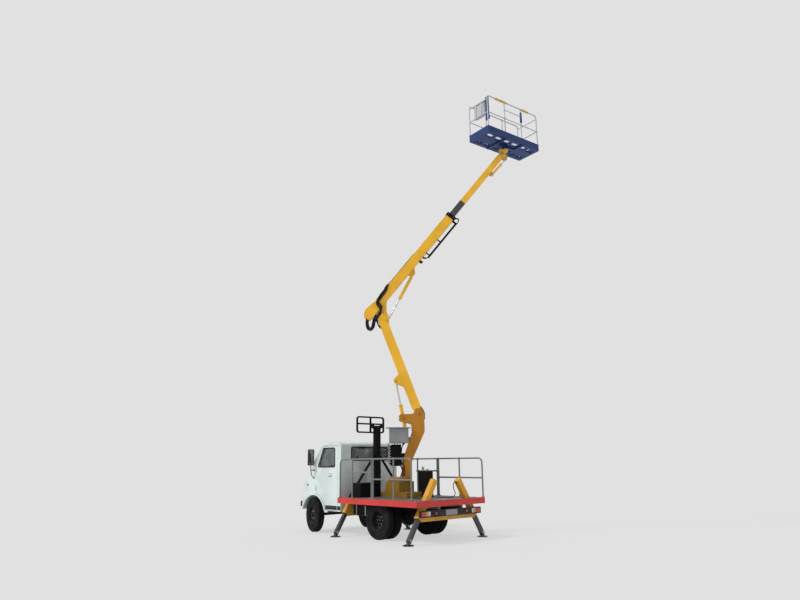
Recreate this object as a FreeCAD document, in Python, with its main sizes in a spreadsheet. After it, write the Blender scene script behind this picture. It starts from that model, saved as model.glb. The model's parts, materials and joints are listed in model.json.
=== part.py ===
import FreeCAD, Part
import math
import os
from collections import namedtuple

import Sketcher

# Cherry picker truck: a small forward-control truck with a railed deck, four sloping outriggers,
# a slewing post, an articulated and telescopic boom and a work basket.
# Frame: X forward, Y to the left, Z up, in millimetres. The origin is on the ground, on the
# centreline, under the rear axle.

SIZES = [
    # Running gear
    ("wheelbase", 2350, "rear axle to front axle"),
    ("tyre_diameter", 775, "loaded tyre"),
    ("tyre_width", 180, "section width of one tyre"),
    ("tyre_shoulder", 34, "rounding of the tread's shoulder"),
    ("bead_diameter", 410, "tyre bore, where it sits on its rim"),
    ("bead_gap", 0.3, "rim to tyre"),
    ("rim_wall", 15, "thickness of the rim's well"),
    ("rim_width", 156, "width of the rim"),
    ("vent_circle", 154, "wheel centre to the vent holes"),
    ("vent_diameter", 38, "vent holes of the rims"),
    ("front_half_track", 775, "centreline to front tyre"),
    ("rear_half_track", 800, "centreline to outer rear tyre"),
    ("twin_spacing", 218, "outer to inner rear tyre"),
    ("kingpin_offset", 620, "centreline to kingpin"),
    ("kingpin_diameter", 36, "kingpin"),
    ("kingpin_height", 150, "kingpin length"),
    ("stub_diameter", 40, "front stub axle"),
    ("shaft_diameter", 50, "rear half shaft"),
    ("running_gap", 0.05, "radial clearance of a shaft in its bore"),
    ("moving_gap", 6, "clearance between pieces that move past each other"),
    ("rest_steer", -12, "front wheels turned right as the truck stands"),
    ("axle_beam", 60, "height of the front axle beam"),
    ("axle_tube", 100, "diameter of the rear axle tube"),
    ("drum_diameter", 260, "brake drums"),
    ("rear_spring", 1100, "rear springs, eye to eye"),
    ("front_spring", 800, "front springs, eye to eye"),
    ("propeller_z", 467, "height of the propeller shaft at the gearbox"),
    ("gearbox_x", 1440, "rear face of the gearbox"),
    ("spring_pack", 36, "thickness of the leaves"),
    ("spring_rise", 62, "camber of the springs"),
    # Chassis
    ("rail_low", 520, "ground to underside of the side rails"),
    ("rail_high", 640, "ground to top of the side rails"),
    ("rail_inner", 300, "centreline to open side of a rail"),
    ("rail_outer", 360, "centreline to web of a rail"),
    ("rail_wall", 8, "thickness of the rail"),
    ("frame_rear", -1290, "rear end of the side rails"),
    ("frame_front", 2760, "front end of the side rails"),
    ("member_width", 60, "cross members and bearers"),
    # Deck
    ("deck_rear", -1344, "rear edge of the deck"),
    ("deck_front", 1192, "front edge of the deck"),
    ("deck_half", 1014, "half width of the deck"),
    ("deck_top", 817, "ground to deck surface"),
    ("deck_plate", 8, "thickness of the deck plate"),
    ("edge_height", 120, "height of the edge channel"),
    ("edge_flange", 50, "flange of the edge channel"),
    ("edge_wall", 7, "wall of the edge channel"),
    ("bearer_height", 80, "height of the cross bearers"),
    # Railings
    ("tube", 34, "diameter of the railing tube"),
    ("rail_top", 1635, "ground to centre of the top rail"),
    ("mid_rail", 1220, "ground to centre of the rear mid rail"),
    ("high_rail", 1360, "ground to centre of the front mid rail"),
    ("post_rear", -650, "rear railing posts"),
    ("post_middle", 20, "paired railing posts"),
    ("post_front", 700, "front railing posts"),
    ("rail_corner", 100, "bend radius of the top rail"),
    ("rail_inset", 25, "deck edge to centre of the railing"),
    # Outriggers
    ("pad_x_rear", -1174, "rear outriggers"),
    ("pad_x_front", 1155, "front outriggers"),
    ("pad_y", 1085, "centreline to pad"),
    ("pad_diameter", 220, "ground pads"),
    ("pad_thick", 16, "ground pads"),
    ("pad_boss", 64, "ground to the foot of the leg"),
    ("leg_slope", 33, "lean of the legs from upright"),
    ("leg_side", 80, "square tube of the leg"),
    ("housing_side", 112, "square tube of the housing"),
    ("housing_wall", 8, "wall of the housing"),
    ("housing_foot", 480, "foot of the leg to mouth of the housing"),
    ("rear_housing", 870, "length of the rear housings"),
    ("front_housing", 345, "length of the front housings"),
    ("rear_leg", 760, "length of the rear legs"),
    ("front_leg", 600, "length of the front legs"),
    ("beam_low", 420, "ground to underside of the outrigger beams"),
    ("beam_width", 100, "outrigger beams"),
    # Cab
    ("cab_rear", 1300, "rear wall"),
    ("cab_half", 850, "half width"),
    ("cab_sill", 500, "ground to sill"),
    ("cab_wall", 45, "thickness of walls and doors"),
    ("cab_floor", 860, "ground to underside of the floor"),
    ("floor_thick", 40, "cab floor"),
    ("roof_rear", 1995, "roof height at the rear wall"),
    ("roof_crown", 2065, "roof height at the crown"),
    ("crown_x", 1680, "place of the crown"),
    ("brow_x", 2055, "front edge of the roof"),
    ("brow_z", 1995, "height of the roof's front edge"),
    ("screen_x", 2470, "foot of the windscreen"),
    ("screen_z", 1440, "height of the windscreen's foot"),
    ("nose_x", 2790, "edge of the nose"),
    ("nose_z", 1050, "height of the nose's edge"),
    ("front_x", 2830, "front panel at its foot"),
    ("front_z", 600, "foot of the front panel"),
    ("roof_round", 70, "rounding of the roof corner"),
    ("arch_radius", 445, "wheel arch"),
    ("arch_lip", 46, "width of the arch's lip"),
    ("lip_proud", 14, "lip outside the cab side"),
    ("door_rear", 1430, "rear edge of the doors"),
    ("door_front", 2262, "front edge of the doors"),
    ("door_foot", 520, "foot of the doors"),
    ("door_top", 1940, "top of the doors"),
    ("door_brow", 1990, "front end of the door's top edge"),
    ("door_knee", 1575, "foot of the door's sloping edge"),
    ("hinge_x", 2265, "door hinges"),
    ("window_low", 1470, "foot of the windows"),
    ("window_high", 1900, "top of the side windows"),
    ("window_rear", 1525, "rear edge of the side windows"),
    ("window_front", 2195, "foot of the side window's front edge"),
    ("window_brow", 1985, "top of the side window's front edge"),
    ("window_round", 40, "corners of the windows"),
    ("glass", 6, "thickness of the glass"),
    ("screen_half", 690, "half width of the windscreen"),
    ("rear_window_half", 550, "half width of the rear window"),
    ("rear_window_low", 1620, "foot of the rear window"),
    ("rear_window_high", 1915, "top of the rear window"),
    ("bumper_reach", 80, "depth of the bumper"),
    ("bumper_low", 560, "underside of the bumper"),
    ("bumper_height", 125, "height of the bumper"),
    ("grille_half", 420, "half width of the grille's slots"),
    ("lamp_diameter", 180, "headlamps"),
    ("lamp_y", 640, "centreline to headlamp"),
    ("lamp_z", 900, "height of the headlamps"),
    # Boom rest
    ("mirror_arm", 1400, "arm of a mirror out of the cab's side"),
    ("mirror_low", 1510, "foot of a mirror's housing"),
    ("mirror_high", 1880, "top of a mirror's housing"),
    ("rest_x", 1035, "boom rest"),
    ("rest_side", 130, "square mast of the rest"),
    ("rest_top", 2330, "top of the rest's mast"),
    ("brace_z", 1840, "top of the braces"),
    ("brace_y", 800, "foot of the braces"),
    ("brace_tube", 44, "diameter of the braces"),
    ("guard_low", 2250, "lower bar of the guard"),
    ("guard_high", 2600, "upper bar of the guard"),
    ("guard_left", 530, "left end of the guard"),
    ("guard_right", -270, "right end of the guard"),
    ("guard_corner", 70, "bend radius of the guard"),
    # Turret
    ("slew_x", 250, "slew axis"),
    ("slew_angle", -130, "azimuth of the boom's plane, basket side"),
    ("base_half", 230, "half width of the pedestal"),
    ("ring_low", 1150, "underside of the slew ring"),
    ("ring_height", 60, "slew ring"),
    ("ring_diameter", 480, "slew ring"),
    ("post_foot", 150, "slew axis to centre of the post's foot"),
    ("cheek_gap", 2, "boom to cheek plate, each side"),
    ("cheek", 16, "thickness of the cheek plates"),
    ("pivot_r", 445, "slew axis to lower boom's pivot"),
    ("pivot_z", 2650, "height of the lower boom's pivot"),
    ("pin_diameter", 50, "boom pins"),
    ("small_pin", 40, "cylinder pins"),
    ("lift_foot_r", 90, "slew axis to the lift cylinder's trunnion"),
    ("lift_foot_z", 2540, "height of the lift cylinder's trunnion"),
    ("lift_head_x", 874, "pivot to the lift rod's eye along the lower boom"),
    ("lift_head_z", 222, "lower boom's axis to the lift rod's eye"),
    ("elbow_foot_x", 1200, "elbow to the elbow cylinder's foot along the upper boom"),
    ("elbow_foot_z", 20, "elbow line to the elbow cylinder's foot"),
    ("elbow_head_x", 250, "elbow to the elbow rod's eye along the lower boom"),
    ("elbow_head_z", -110, "lower boom's axis to the elbow rod's eye"),
    ("level_foot_x", 600, "levelling hinge to the levelling cylinder's foot"),
    ("level_foot_z", -130, "boom's axis to the levelling cylinder's foot"),
    ("crank", 150, "levelling hinge to the levelling rod's eye"),
    ("crank_angle", -48.85, "direction of the crank as it stands"),
    # Lower boom
    ("lower_angle", 110.6, "lower boom above the basket side's horizon"),
    ("lower_length", 2509, "pivot to elbow along the boom"),
    ("elbow_drop", 80, "elbow to the lower boom's axis"),
    ("lower_depth", 200, "depth of the lower boom"),
    ("lower_width", 138, "width of the lower boom"),
    ("boom_wall", 8, "wall of the boom tubes"),
    ("fork_plate", 18, "plates of the elbow's fork"),
    ("nest_start", 1640, "pivot to the slot that the folded elbow cylinder lies in"),
    ("nest_top", 40, "roof of that slot over the boom's axis"),
    ("rod_gap", 0.1, "rod in its gland"),
    # Upper boom
    ("upper_angle", 51.15, "upper boom above the horizon"),
    ("upper_rise", 200, "elbow to the upper boom's axis"),
    ("upper_depth", 210, "depth of the upper boom"),
    ("upper_width", 150, "width of the upper boom"),
    ("upper_root", -325, "root end of the upper boom"),
    ("collar_x", 2885, "mouth of the upper boom"),
    ("collar_length", 90, "collar at the mouth"),
    ("tray_start", 1750, "elbow to the near end of the hose tray"),
    ("inner_depth", 150, "depth of the telescope"),
    ("inner_width", 110, "width of the telescope"),
    ("slide_gap", 0.5, "telescope to collar"),
    ("inner_start", 2185, "root end of the telescope"),
    ("tip_x", 5100, "levelling hinge"),
    # Basket
    ("basket_azimuth", -96, "long side of the basket"),
    ("basket_length", 1800, "long side"),
    ("basket_depth", 700, "short side"),
    ("basket_height", 1000, "floor to top rail"),
    ("basket_floor", 40, "thickness of the floor frame"),
    ("basket_rise", 235, "levelling hinge to floor"),
    ("basket_tube", 30, "diameter of the basket rails"),
    ("toe_height", 130, "toe board"),
    ("post_reach", 90, "levelling hinge to rotator axis"),
]


class Size:
    """A number from the sheet beside its formula, so that what is built from it stays bound."""

    def __init__(self, formula, value):
        self.formula = formula
        self.value = value

    def __add__(self, other):
        return Size(f"({self.formula} + {text(other)})", self.value + number(other))

    def __radd__(self, other):
        return Size(f"({text(other)} + {self.formula})", number(other) + self.value)

    def __sub__(self, other):
        return Size(f"({self.formula} - {text(other)})", self.value - number(other))

    def __rsub__(self, other):
        return Size(f"({text(other)} - {self.formula})", number(other) - self.value)

    def __mul__(self, other):
        return Size(f"({self.formula} * {text(other)})", self.value * number(other))

    def __rmul__(self, other):
        return Size(f"({text(other)} * {self.formula})", number(other) * self.value)

    def __truediv__(self, other):
        return Size(f"({self.formula} / {text(other)})", self.value / number(other))

    def __neg__(self):
        return Size(f"(-{self.formula})", -self.value)


def text(item):
    return item.formula if isinstance(item, Size) else repr(item)


def number(item):
    return item.value if isinstance(item, Size) else item


def cosine(angle):
    return Size(f"cos({text(angle)})", math.cos(math.radians(number(angle))))


def sine(angle):
    return Size(f"sin({text(angle)})", math.sin(math.radians(number(angle))))


def tangent(angle):
    return Size(f"tan({text(angle)})", math.tan(math.radians(number(angle))))


def bearing(u, v):
    """Angle of the direction (u, v), in degrees."""
    return Size(f"atan2({text(v)}; {text(u)})", math.degrees(math.atan2(number(v), number(u))))


def root(item):
    return Size(f"sqrt({text(item)})", math.sqrt(number(item)))


doc = FreeCAD.newDocument("cherry_picker_truck")
sheet = doc.addObject("Spreadsheet::Sheet", "Sizes")
for row, (alias, value, meaning) in enumerate(SIZES, 1):
    sheet.set(f"A{row}", alias)
    sheet.set(f"B{row}", str(value))
    sheet.set(f"C{row}", meaning)
    sheet.setAlias(f"B{row}", alias)
doc.recompute()
S = namedtuple("Sheet", [row[0] for row in SIZES])(*[Size(f"Sizes.{row[0]}", row[1]) for row in SIZES])

Disc = namedtuple("Disc", "u v radius")
PARTS = []


def box(u0, v0, u1, v1, radius=0):
    """Rectangle between two corners, with rounded corners if a radius is given."""
    return [(u0, v0, radius), (u1, v0, radius), (u1, v1, radius), (u0, v1, radius)]


def bind(sketch, kind, *where):
    """Adds a dimension whose last item is a Size or a number, and binds it."""
    target = where[-1]
    index = sketch.addConstraint(Sketcher.Constraint(kind, *where[:-1], float(number(target))))
    if isinstance(target, Size):
        sketch.setExpression(f"Constraints[{index}]", target.formula)


def pin_point(sketch, shape, end, u, v):
    bind(sketch, "DistanceX", shape, end, u)
    bind(sketch, "DistanceY", shape, end, v)


def draw_disc(sketch, disc):
    centre = FreeCAD.Vector(number(disc.u), number(disc.v), 0)
    shape = sketch.addGeometry(Part.Circle(centre, FreeCAD.Vector(0, 0, 1), number(disc.radius)), False)
    bind(sketch, "Radius", shape, disc.radius)
    pin_point(sketch, shape, 3, disc.u, disc.v)


def draw_line(sketch, points, closed):
    """Straight runs between points (u, v) or (u, v, radius), with tangent arcs at rounded corners."""
    points = [point if len(point) == 3 else (*point, 0) for point in points]
    corners = [FreeCAD.Vector(number(u), number(v), 0) for u, v, radius in points]
    count = len(points)
    rounded = [number(radius) > 0 and (closed or 0 < i < count - 1) for i, (u, v, radius) in enumerate(points)]
    arrive, leave, centre = list(corners), list(corners), [None] * count
    for i in range(count):
        if rounded[i]:
            back = (corners[i - 1] - corners[i]).normalize()
            ahead = (corners[(i + 1) % count] - corners[i]).normalize()
            half = back.getAngle(ahead) / 2
            radius = number(points[i][2])
            arrive[i] = corners[i] + back * (radius / math.tan(half))
            leave[i] = corners[i] + ahead * (radius / math.tan(half))
            centre[i] = corners[i] + (back + ahead).normalize() * (radius / math.sin(half))
    runs = count if closed else count - 1
    line = [sketch.addGeometry(Part.LineSegment(leave[i], arrive[(i + 1) % count]), False)
            for i in range(runs)]
    for i in range(count):
        before = line[i - 1] if closed or i > 0 else None
        after = line[i] if i < runs else None
        if rounded[i]:
            spokes = [arrive[i] - centre[i], leave[i] - centre[i]]
            start = 1 if spokes[0].cross(spokes[1]).z > 0 else 2
            first, last = [math.atan2(spoke.y, spoke.x) for spoke in spokes][::3 - 2 * start]
            circle = Part.Circle(centre[i], FreeCAD.Vector(0, 0, 1), number(points[i][2]))
            last += 2 * math.pi if last < first else 0
            arc = sketch.addGeometry(Part.ArcOfCircle(circle, first, last), False)
            sketch.addConstraint(Sketcher.Constraint("Tangent", before, 2, arc, start))
            sketch.addConstraint(Sketcher.Constraint("Tangent", arc, 3 - start, after, 1))
            bind(sketch, "Radius", arc, points[i][2])
            corner = sketch.addGeometry(Part.Point(corners[i]), True)
            sketch.addConstraint(Sketcher.Constraint("PointOnObject", corner, 1, before))
            sketch.addConstraint(Sketcher.Constraint("PointOnObject", corner, 1, after))
            pin_point(sketch, corner, 1, points[i][0], points[i][1])
        else:
            if before is not None and after is not None:
                sketch.addConstraint(Sketcher.Constraint("Coincident", before, 2, after, 1))
            holder, end = (after, 1) if after is not None else (before, 2)
            pin_point(sketch, holder, end, points[i][0], points[i][1])


class Piece:
    """One body: outlines on its own origin planes, added or cut between two levels."""

    def __init__(self, label):
        self.body = doc.addObject("PartDesign::Body", label)
        self.body.Label = label
        PARTS.append(self.body)

    def sketch(self, plane, level, outlines, closed=True):
        name = plane + "_Plane"
        datum = next(item for item in self.body.Origin.OriginFeatures if item.Role == name)
        sketch = self.body.newObject("Sketcher::SketchObject", "outline")
        sketch.AttachmentSupport = [(datum, "")]
        sketch.MapMode = "FlatFace"
        offset = -level if plane == "XZ" else level
        sketch.AttachmentOffset = FreeCAD.Placement(FreeCAD.Vector(0, 0, number(offset)), FreeCAD.Rotation())
        if isinstance(offset, Size):
            sketch.setExpression("AttachmentOffset.Base.z", offset.formula)
        for outline in outlines:
            if isinstance(outline, Disc):
                draw_disc(sketch, outline)
            else:
                draw_line(sketch, outline, closed)
        return sketch

    def feature(self, kind, sketch, length, against):
        feature = self.body.newObject(kind, kind.split("::")[1])
        feature.Profile = sketch
        feature.Length = float(number(length))
        if isinstance(length, Size):
            feature.setExpression("Length", length.formula)
        feature.Reversed = against
        return feature

    def pad(self, plane, low, high, *outlines):
        """Adds the outlines between two levels along the plane's own axis."""
        self.feature("PartDesign::Pad", self.sketch(plane, low, outlines), high - low, plane == "XZ")
        return self

    def cut(self, plane, low, high, *outlines):
        """Cuts the outlines between two levels along the plane's own axis."""
        self.feature("PartDesign::Pocket", self.sketch(plane, low, outlines), high - low, plane != "XZ")
        return self

    def turn(self, plane, axis, outline):
        """Turns an outline round one of its sketch's own axes."""
        sketch = self.sketch(plane, 0, [outline])
        feature = self.body.newObject("PartDesign::Revolution", "Turned")
        feature.Profile = sketch
        feature.ReferenceAxis = (sketch, [axis])
        feature.Angle = 360
        return self

    def pipe(self, plane, level, points, radius):
        """A bent tube whose path is drawn on a plane and starts along that plane's second axis."""
        path = self.sketch(plane, level, [points], closed=False)
        start_u, start_v = points[0][0], points[0][1]
        ring = {"XZ": ("XY", start_v, start_u, level), "YZ": ("XY", start_v, level, start_u),
                "XY": ("XZ", start_v, start_u, level)}[plane]
        profile = self.sketch(ring[0], ring[1], [Disc(ring[2], ring[3], radius)])
        doc.recompute()
        feature = self.body.newObject("PartDesign::AdditivePipe", "Bent")
        feature.Profile = profile
        feature.Spine = (path, [f"Edge{i + 1}" for i in range(len(path.Shape.Edges))])
        return self

    def place(self, x=0, y=0, z=0, yaw=0, pitch=0, roll=0):
        move = f"vector({text(x)}; {text(y)}; {text(z)})"
        spin = f"rotation({text(yaw)}; {text(pitch)}; {text(roll)})"
        self.body.setExpression("Placement", f"placement({move}; {spin})")
        return self


SIDES = (("l", 1), ("r", -1))
AXLE_Z = S.tyre_diameter / 2


# Wheels

def tyre_outline(middle):
    half = S.tyre_width / 2
    bead, tread = S.bead_diameter / 2, S.tyre_diameter / 2
    belly = bead + (tread - bead) * 0.5
    return [(middle - half * 0.78, bead), (middle - half, belly, S.tyre_shoulder),
            (middle - half * 0.84, tread, S.tyre_shoulder), (middle + half * 0.84, tread, S.tyre_shoulder),
            (middle + half, belly, S.tyre_shoulder), (middle + half * 0.78, bead)]


def front_rim_outline():
    seat, well = S.bead_diameter / 2 - S.bead_gap, S.bead_diameter / 2 - S.rim_wall
    half, bore = S.rim_width / 2, S.stub_diameter / 2 + S.running_gap
    return [(-half, seat), (half, seat), (half, well), (20, well), (44, 118), (44, 60), (74, 50), (74, 0),
            (60, 0), (60, bore), (-45, bore), (-45, 50), (30, 50), (30, 114), (4, well), (-half, well)]


def rear_rim_outline():
    seat, well = S.bead_diameter / 2 - S.bead_gap, S.bead_diameter / 2 - S.rim_wall
    half, bore, twin = S.rim_width / 2, S.shaft_diameter / 2 + S.running_gap, S.twin_spacing
    joint = -twin / 2
    return [(-twin - half, seat), (half - twin, seat), (half - twin, well), (joint - 4, 126),
            (joint + 4, 126), (-half, well), (-half, seat), (half, seat), (half, well),
            (18 - half, well), (joint + 16, 126), (joint + 16, 62), (-28, 56), (-28, 0), (-45, 0),
            (-45, bore), (-240, bore), (-240, 62), (joint - 16, 62), (joint - 16, 126),
            (half - twin - 18, well), (-twin - half, well)]


def vents():
    """Ring of holes through the dish of a rim."""
    return [Disc(S.vent_circle * cosine(i * 360 / 8), S.vent_circle * sine(i * 360 / 8), S.vent_diameter / 2)
            for i in range(8)]


for side, sign in SIDES:
    turned = S.rest_steer if sign > 0 else S.rest_steer + 180
    reach = S.front_half_track - S.kingpin_offset
    wheel_x = S.wheelbase - sign * reach * sine(S.rest_steer)
    wheel_y = sign * (S.kingpin_offset + reach * cosine(S.rest_steer))
    tyre = Piece(f"tyre_front_{side}").turn("YZ", "H_Axis", tyre_outline(S.front_half_track * 0))
    rim = Piece(f"rim_front_{side}").turn("YZ", "H_Axis", front_rim_outline())
    rim.cut("XZ", -5, 60, *vents())
    for piece in (tyre, rim):
        piece.place(wheel_x, wheel_y, AXLE_Z, turned)
    rear_yaw = 0 if sign > 0 else 180
    tyre = Piece(f"tyre_rear_{side}").turn("YZ", "H_Axis", tyre_outline(S.twin_spacing * 0))
    tyre.turn("YZ", "H_Axis", tyre_outline(-S.twin_spacing))
    rim = Piece(f"rim_rear_{side}").turn("YZ", "H_Axis", rear_rim_outline())
    rim.cut("XZ", -S.twin_spacing + 30, -30, *vents())
    for piece in (tyre, rim):
        piece.place(0, sign * S.rear_half_track, AXLE_Z, rear_yaw)

# Steering knuckles, in a frame whose Y points outboard from the kingpin

for side, sign in SIDES:
    half, reach = S.kingpin_height / 2, S.front_half_track - S.kingpin_offset
    lug = S.axle_beam / 2 + S.moving_gap + 10
    knuckle = Piece(f"knuckle_{side}").pad("XY", -half, half, Disc(0, 0, S.kingpin_diameter / 2))
    knuckle.pad("XY", lug, half, box(-32, -32, 32, 60, 20))
    knuckle.pad("XY", -half, -lug, box(-32, -32, 32, 60, 20))
    knuckle.pad("XZ", 44, 60, box(-50, -half, 50, half, 12))
    knuckle.pad("XZ", 58, 96, Disc(0, 0, S.drum_diameter / 2))
    knuckle.pad("XZ", 90, reach + 55, Disc(0, 0, S.stub_diameter / 2))
    knuckle.pad("XY", -half, -half + 24, box(-170, -18, 0, 18, 10))
    knuckle.place(S.wheelbase, sign * S.kingpin_offset, AXLE_Z,
                  S.rest_steer if sign > 0 else S.rest_steer + 180)

# Axles and springs

boss = S.kingpin_diameter / 2 + S.running_gap
beam = S.axle_beam / 2
front_axle = Piece("front_axle").pad("XZ", -S.kingpin_offset, S.kingpin_offset, box(-28, -beam, 28, beam, 6))
for sign in (1, -1):
    front_axle.pad("XY", -beam - 10, beam + 10, Disc(0, sign * S.kingpin_offset, boss + 16))
for sign in (1, -1):
    front_axle.cut("XY", -beam - 11, beam + 11, Disc(0, sign * S.kingpin_offset, boss))
for sign in (1, -1):
    seat = sign * (S.rail_inner + S.rail_outer) / 2
    front_axle.pad("XY", beam - 4, S.axle_tube / 2, box(-60, seat - 30, 60, seat + 30))
front_axle.place(S.wheelbase, 0, AXLE_Z)

hub_end = S.rear_half_track - 240
rear_axle = Piece("rear_axle").pad("XZ", -hub_end + 40, hub_end - 40, Disc(0, 0, S.axle_tube / 2))
rear_axle.turn("XZ", "H_Axis", [(-150, 0), (-150, 60), (-90, 150, 60), (90, 150, 60), (120, 60), (120, 0)])
for sign in (1, -1):
    low, high = (hub_end - 50, hub_end - 12) if sign > 0 else (-hub_end + 12, -hub_end + 50)
    rear_axle.pad("XZ", low, high, Disc(0, 0, S.drum_diameter / 2))
shaft_end = S.rear_half_track - 50
rear_axle.pad("XZ", -shaft_end, shaft_end, Disc(0, 0, S.shaft_diameter / 2))
rear_axle.place(0, 0, AXLE_Z)

springs = Piece("leaf_springs")
seat_z = AXLE_Z + S.axle_tube / 2
SPRINGS = ((S.wheelbase, S.front_spring / 2), (S.wheelbase * 0, S.rear_spring / 2))
for axle_x, half in SPRINGS:
    for sign in (1, -1):
        low, high = (S.rail_inner, S.rail_outer) if sign > 0 else (-S.rail_outer, -S.rail_inner)
        top = seat_z + S.spring_rise
        springs.pad("XZ", low, high, [
            (axle_x - half, top), (axle_x - 90, seat_z, 500), (axle_x + 90, seat_z, 500), (axle_x + half, top),
            (axle_x + half, top + 20), (axle_x + 90, seat_z + S.spring_pack, 500),
            (axle_x - 90, seat_z + S.spring_pack, 500), (axle_x - half, top + 20)])

# Chassis frame: two channel rails, cross members and spring hangers

frame = Piece("chassis_frame")
wall = S.rail_wall
for sign in (1, -1):
    inner, outer = sign * S.rail_inner, sign * S.rail_outer
    web = sign * (S.rail_outer - wall)
    frame.pad("YZ", S.frame_rear, S.frame_front, [
        (inner, S.rail_low), (outer, S.rail_low), (outer, S.rail_high), (inner, S.rail_high),
        (inner, S.rail_high - wall), (web, S.rail_high - wall), (web, S.rail_low + wall),
        (inner, S.rail_low + wall)])
for x in (S.frame_rear, S.frame_rear + 560, S.slew_x - 30, S.deck_front - 200, S.cab_rear + 60,
          S.frame_front - S.member_width):
    frame.pad("YZ", x, x + S.member_width, box(wall - S.rail_outer, S.rail_low + wall,
                                               S.rail_outer - wall, S.rail_high - wall))
hanger_low = seat_z + S.spring_rise + 20
for axle_x, half in SPRINGS:
    for end in (-1, 1):
        x = axle_x + end * (half - 25)
        for sign in (1, -1):
            low, high = (S.rail_inner, S.rail_outer) if sign > 0 else (-S.rail_outer, -S.rail_inner)
            frame.pad("XZ", low, high, box(x - 25, hanger_low, x + 25, S.rail_low + 4))

for x in (S.cab_rear + 60, S.frame_front - 140):
    for sign in (1, -1):
        low, high = (S.rail_inner, S.rail_outer) if sign > 0 else (-S.rail_outer, -S.rail_inner)
        frame.pad("XZ", low, high, box(x, S.rail_high - 4, x + 90, S.cab_floor))

propeller = Piece("propeller_shaft")
nose_x, rise = 120, S.propeller_z - AXLE_Z
run = root((S.gearbox_x - nose_x) * (S.gearbox_x - nose_x) + rise * rise)
propeller.pad("YZ", 70, run - 70, Disc(0, 0, 32))
for low, high in ((2.7, 78), (run - 78, run - 3)):
    propeller.pad("YZ", low, high, Disc(0, 0, 44))
propeller.place(nose_x, 0, AXLE_Z, 0, -bearing(S.gearbox_x - nose_x, rise))

slope_sin, slope_cos = sine(S.leg_slope), cosine(S.leg_slope)


def on_leg(sign, up, out):
    """Point (y, z) of a leg: distance up its slope from the foot, and square to it."""
    return (sign * (S.pad_y - up * slope_sin + out * slope_cos), S.pad_boss + up * slope_cos + out * slope_sin)


def leg_strip(sign, low, high, half):
    return [on_leg(sign, low, -half), on_leg(sign, low, half), on_leg(sign, high, half), on_leg(sign, high, -half)]


# Deck: plate on its bearers, and edge channel

plate_low = S.deck_top - S.deck_plate
bearer_low = plate_low - S.bearer_height
inside_y = S.deck_half - S.edge_wall
deck = Piece("deck")
deck.pad("XY", plate_low, S.deck_top,
         box(S.deck_rear + S.edge_flange, -S.deck_half + S.edge_flange,
             S.deck_front - S.edge_flange, S.deck_half - S.edge_flange))
for sign in (1, -1):
    low, high = (S.rail_inner, S.rail_outer) if sign > 0 else (-S.rail_outer, -S.rail_inner)
    deck.pad("XY", S.rail_high, bearer_low + 4,
                box(S.deck_rear + S.edge_flange, low, S.deck_front - S.edge_flange, high))
wheel_clear = S.tyre_diameter / 2 + 60
for x in (S.deck_rear + S.edge_flange, S.pad_x_rear + 90, -wheel_clear - S.member_width, wheel_clear,
          S.pad_x_front - 210, S.deck_front - S.edge_flange - 40):
    deck.pad("XY", bearer_low, plate_low, box(x, -inside_y + S.edge_flange, x + 40, inside_y - S.edge_flange))
deck.pad("XY", bearer_low, plate_low, box(-20, -S.rail_outer - 60, 20, S.rail_outer + 60))

edge_low = S.deck_top - S.edge_height
edge = Piece("deck_edge").pad(
    "XY", edge_low, S.deck_top,
    box(S.deck_rear, -S.deck_half, S.deck_front, S.deck_half),
    box(S.deck_rear + S.edge_flange, -S.deck_half + S.edge_flange,
        S.deck_front - S.edge_flange, S.deck_half - S.edge_flange))
edge.cut("XY", edge_low + S.edge_wall, S.deck_top - S.deck_plate,
         box(S.deck_rear + S.edge_wall, -inside_y, S.deck_front - S.edge_wall, inside_y))

notch = on_leg(1, S.housing_foot + S.front_housing, 0)[0]
for sign in (1, -1):
    for piece in (deck, edge):
        piece.cut("XY", edge_low - 1, S.deck_top - S.deck_plate,
                  box(S.pad_x_front - S.housing_side / 2 - 6, sign * notch - 60,
                      S.deck_front + 1, sign * notch + 250) if sign > 0 else
                  box(S.pad_x_front - S.housing_side / 2 - 6, sign * notch - 250,
                      S.deck_front + 1, sign * notch + 60))

slot = S.housing_side / 2
slot_y = S.pad_y - (S.deck_top - S.pad_boss) * tangent(S.leg_slope)
slot_half = slot / cosine(S.leg_slope) + 10
for sign in (1, -1):
    deck.cut("XY", plate_low - 1, S.deck_top + 1,
             box(S.pad_x_rear - slot, sign * slot_y - slot_half, S.pad_x_rear + slot, sign * slot_y + slot_half))

# Outriggers: sloping square housings on a beam under the side rails, with a leg in each

frames = Piece("outrigger_frames")
for x, housing_length in ((S.pad_x_rear, S.rear_housing), (S.pad_x_front, S.front_housing)):
    half, bore, mouth = S.housing_side / 2, S.housing_side / 2 - S.housing_wall, S.housing_foot
    reach = on_leg(1, mouth + 60, 0)[0]
    frames.pad("YZ", x - S.beam_width / 2, x + S.beam_width / 2, box(-reach, S.beam_low, reach, S.rail_low))
    for sign in (1, -1):
        frames.pad("YZ", x - half, x + half, leg_strip(sign, mouth, mouth + housing_length, half))
    for sign in (1, -1):
        frames.cut("YZ", x - bore, x + bore, leg_strip(sign, mouth - 20, mouth + housing_length - 10, bore))

frames.pad("YZ", S.pad_x_front - S.beam_width / 2, S.pad_x_front + S.beam_width / 2,
           box(-130, S.beam_low - 50, 130, S.beam_low + 4))
frames.cut("YZ", S.pad_x_front - S.beam_width / 2 - 1, S.pad_x_front + S.beam_width / 2 + 1, Disc(0, 450, 60))

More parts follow.
